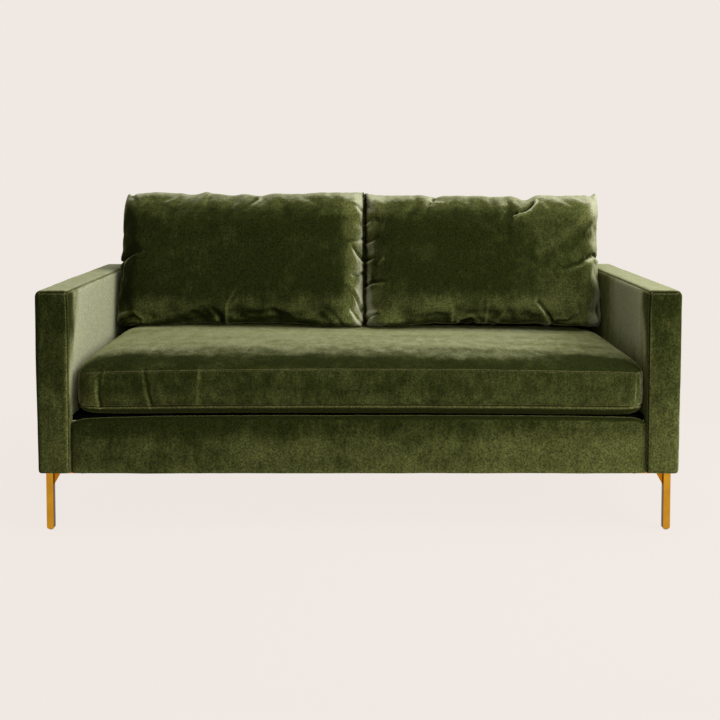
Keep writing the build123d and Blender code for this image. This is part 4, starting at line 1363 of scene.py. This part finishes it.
@dataclass
class Studio:
    """A pale sweep, soft lamps and the camera at the photograph's place."""

    ground: str = "#f0e9e3"
    ground_glow: float = 0.97
    air_strength: float = 0.18
    eye: tuple[float, float, float] = (0.0043, -3.438, 0.970)
    pitch_deg: float = 2.96
    lens_mm: float = 56.85
    centre_row: float = 227.6
    picture: float = 720.0

    def build(self) -> None:
        """Builds the floor, the lamps, the world and the camera."""
        self.sweep()
        for name, place, size, power in LAMPS:
            self.lamp(name, place, size, power)
        self.air()
        data = bpy.data.cameras.new("camera")
        data.lens = self.lens_mm
        data.sensor_width = 36.0
        data.shift_y = (self.centre_row - self.picture / 2) / self.picture
        data.clip_end = 60.0
        camera = bpy.data.objects.new("camera", data)
        camera.location = self.eye
        camera.rotation_euler = (math.radians(90.0 - self.pitch_deg), 0.0, 0.0)
        bpy.context.scene.collection.objects.link(camera)
        bpy.context.scene.camera = camera
        bpy.context.scene.view_settings.view_transform = "Standard"

    def air(self) -> None:
        """Builds the world: a dim soft light, which the camera and gloss see as the pale ground."""
        world = bpy.data.worlds.new("studio_air")
        bpy.context.scene.world = world
        world.use_nodes = True
        tree = world.node_tree
        dim = add_node(tree, "Background", {"Color": (1.0, 0.97, 0.94, 1.0), "Strength": self.air_strength})
        pale = add_node(tree, "Background", {"Color": linear(self.ground), "Strength": 1.0})
        both = add_node(tree, "MixShader", {0: self.looked_at(tree), 1: dim, 2: pale})
        plug(tree.nodes["World Output"], {"Surface": both})

    @staticmethod
    def looked_at(tree: bpy.types.NodeTree) -> bpy.types.NodeSocket:
        """Gives 1 for rays that show the ground: straight, in gloss or through glass."""
        straight, gloss, glass = (add_node(tree, "LightPath", out=f"Is {ray} Ray")
                                  for ray in ("Camera", "Glossy", "Transmission"))
        opaque = add_node(tree, "Math", {0: straight, 1: gloss}, operation="MAXIMUM")
        return add_node(tree, "Math", {0: opaque, 1: glass}, operation="MAXIMUM")

    def sweep(self) -> None:
        """Builds the floor that shows as the photograph's ground and keeps a faint shadow."""
        bm = bmesh.new()
        bmesh.ops.create_grid(bm, x_segments=2, y_segments=2, size=25.0)
        mesh = mesh_of(bm, "floor")
        floor = bpy.data.objects.new("floor", mesh)
        bpy.context.scene.collection.objects.link(floor)
        material, tree, shader = start_material("painted_floor")
        plug(shader, {"Base Color": linear(self.ground), "Roughness": 1.0, "Specular IOR Level": 0.0})
        place = add_node(tree, "TexCoord", out="Object")
        share = add_node(tree, "MapRange", {
            "Value": add_node(tree, "VectorMath", {0: place}, "Value", operation="LENGTH"),
            "From Min": 0.9, "From Max": 2.6, "To Min": self.ground_glow}, interpolation_type="SMOOTHSTEP")
        amount = add_node(tree, "Math", {0: self.looked_at(tree), 1: share}, operation="MULTIPLY")
        glow = add_node(tree, "Emission", {"Color": linear(self.ground), "Strength": 1.0})
        both = add_node(tree, "MixShader", {0: amount, 1: shader.outputs["BSDF"], 2: glow})
        plug(tree.nodes["Material Output"], {"Surface": both})
        mesh.materials.append(material)

    def lamp(self, name: str, place: tuple[float, float, float], size: float, power: float) -> None:
        """Adds a square soft lamp that faces the seat.

        Args:
            name: The lamp's name.
            place: Its place.
            size: Its side.
            power: Its power in watts.
        """
        data = bpy.data.lights.new(name, "AREA")
        data.shape = "SQUARE"
        data.size = size
        data.energy = power
        lamp = bpy.data.objects.new(name, data)
        lamp.location = place
        aim = Vector((0.0, 0.0, 0.4)) - Vector(place)
        lamp.rotation_euler = aim.to_track_quat("-Z", "Y").to_euler()
        bpy.context.scene.collection.objects.link(lamp)


def main() -> None:
    """Builds the object, then the studio around it."""
    logging.basicConfig(level=logging.INFO, format="%(name)s: %(message)s")
    shop = Workshop()
    shop.dress_solids()
    for side in (-1, 1):
        TrackArm(shop, side).build()
    FrontRail(shop).build()
    FixedBack(shop).build()
    LiningCloth(shop).build()
    SeatCushion(shop).build()
    BackCushion(shop, -1, -0.777, 0.0340, -0.7655, LEFT_FOLDS, LEFT_DIPS, height=0.426, taper=0.019,
                inner=0.0171).build()
    BackCushion(shop, 1, 0.0010, 0.783, 0.0185, RIGHT_FOLDS, RIGHT_DIPS, height=0.418, taper=0.005,
                inner=0.0174).build()
    for name, body, cushion in (("seat", Body.SEAT, "seat_cushion_velvet"),
                                ("left", Body.LEFT, "left_back_cushion"),
                                ("right", Body.RIGHT, "right_back_cushion")):
        Zip(shop, name, body, cushion).build()
    Studio().build()


if __name__ == "__main__":
    main()
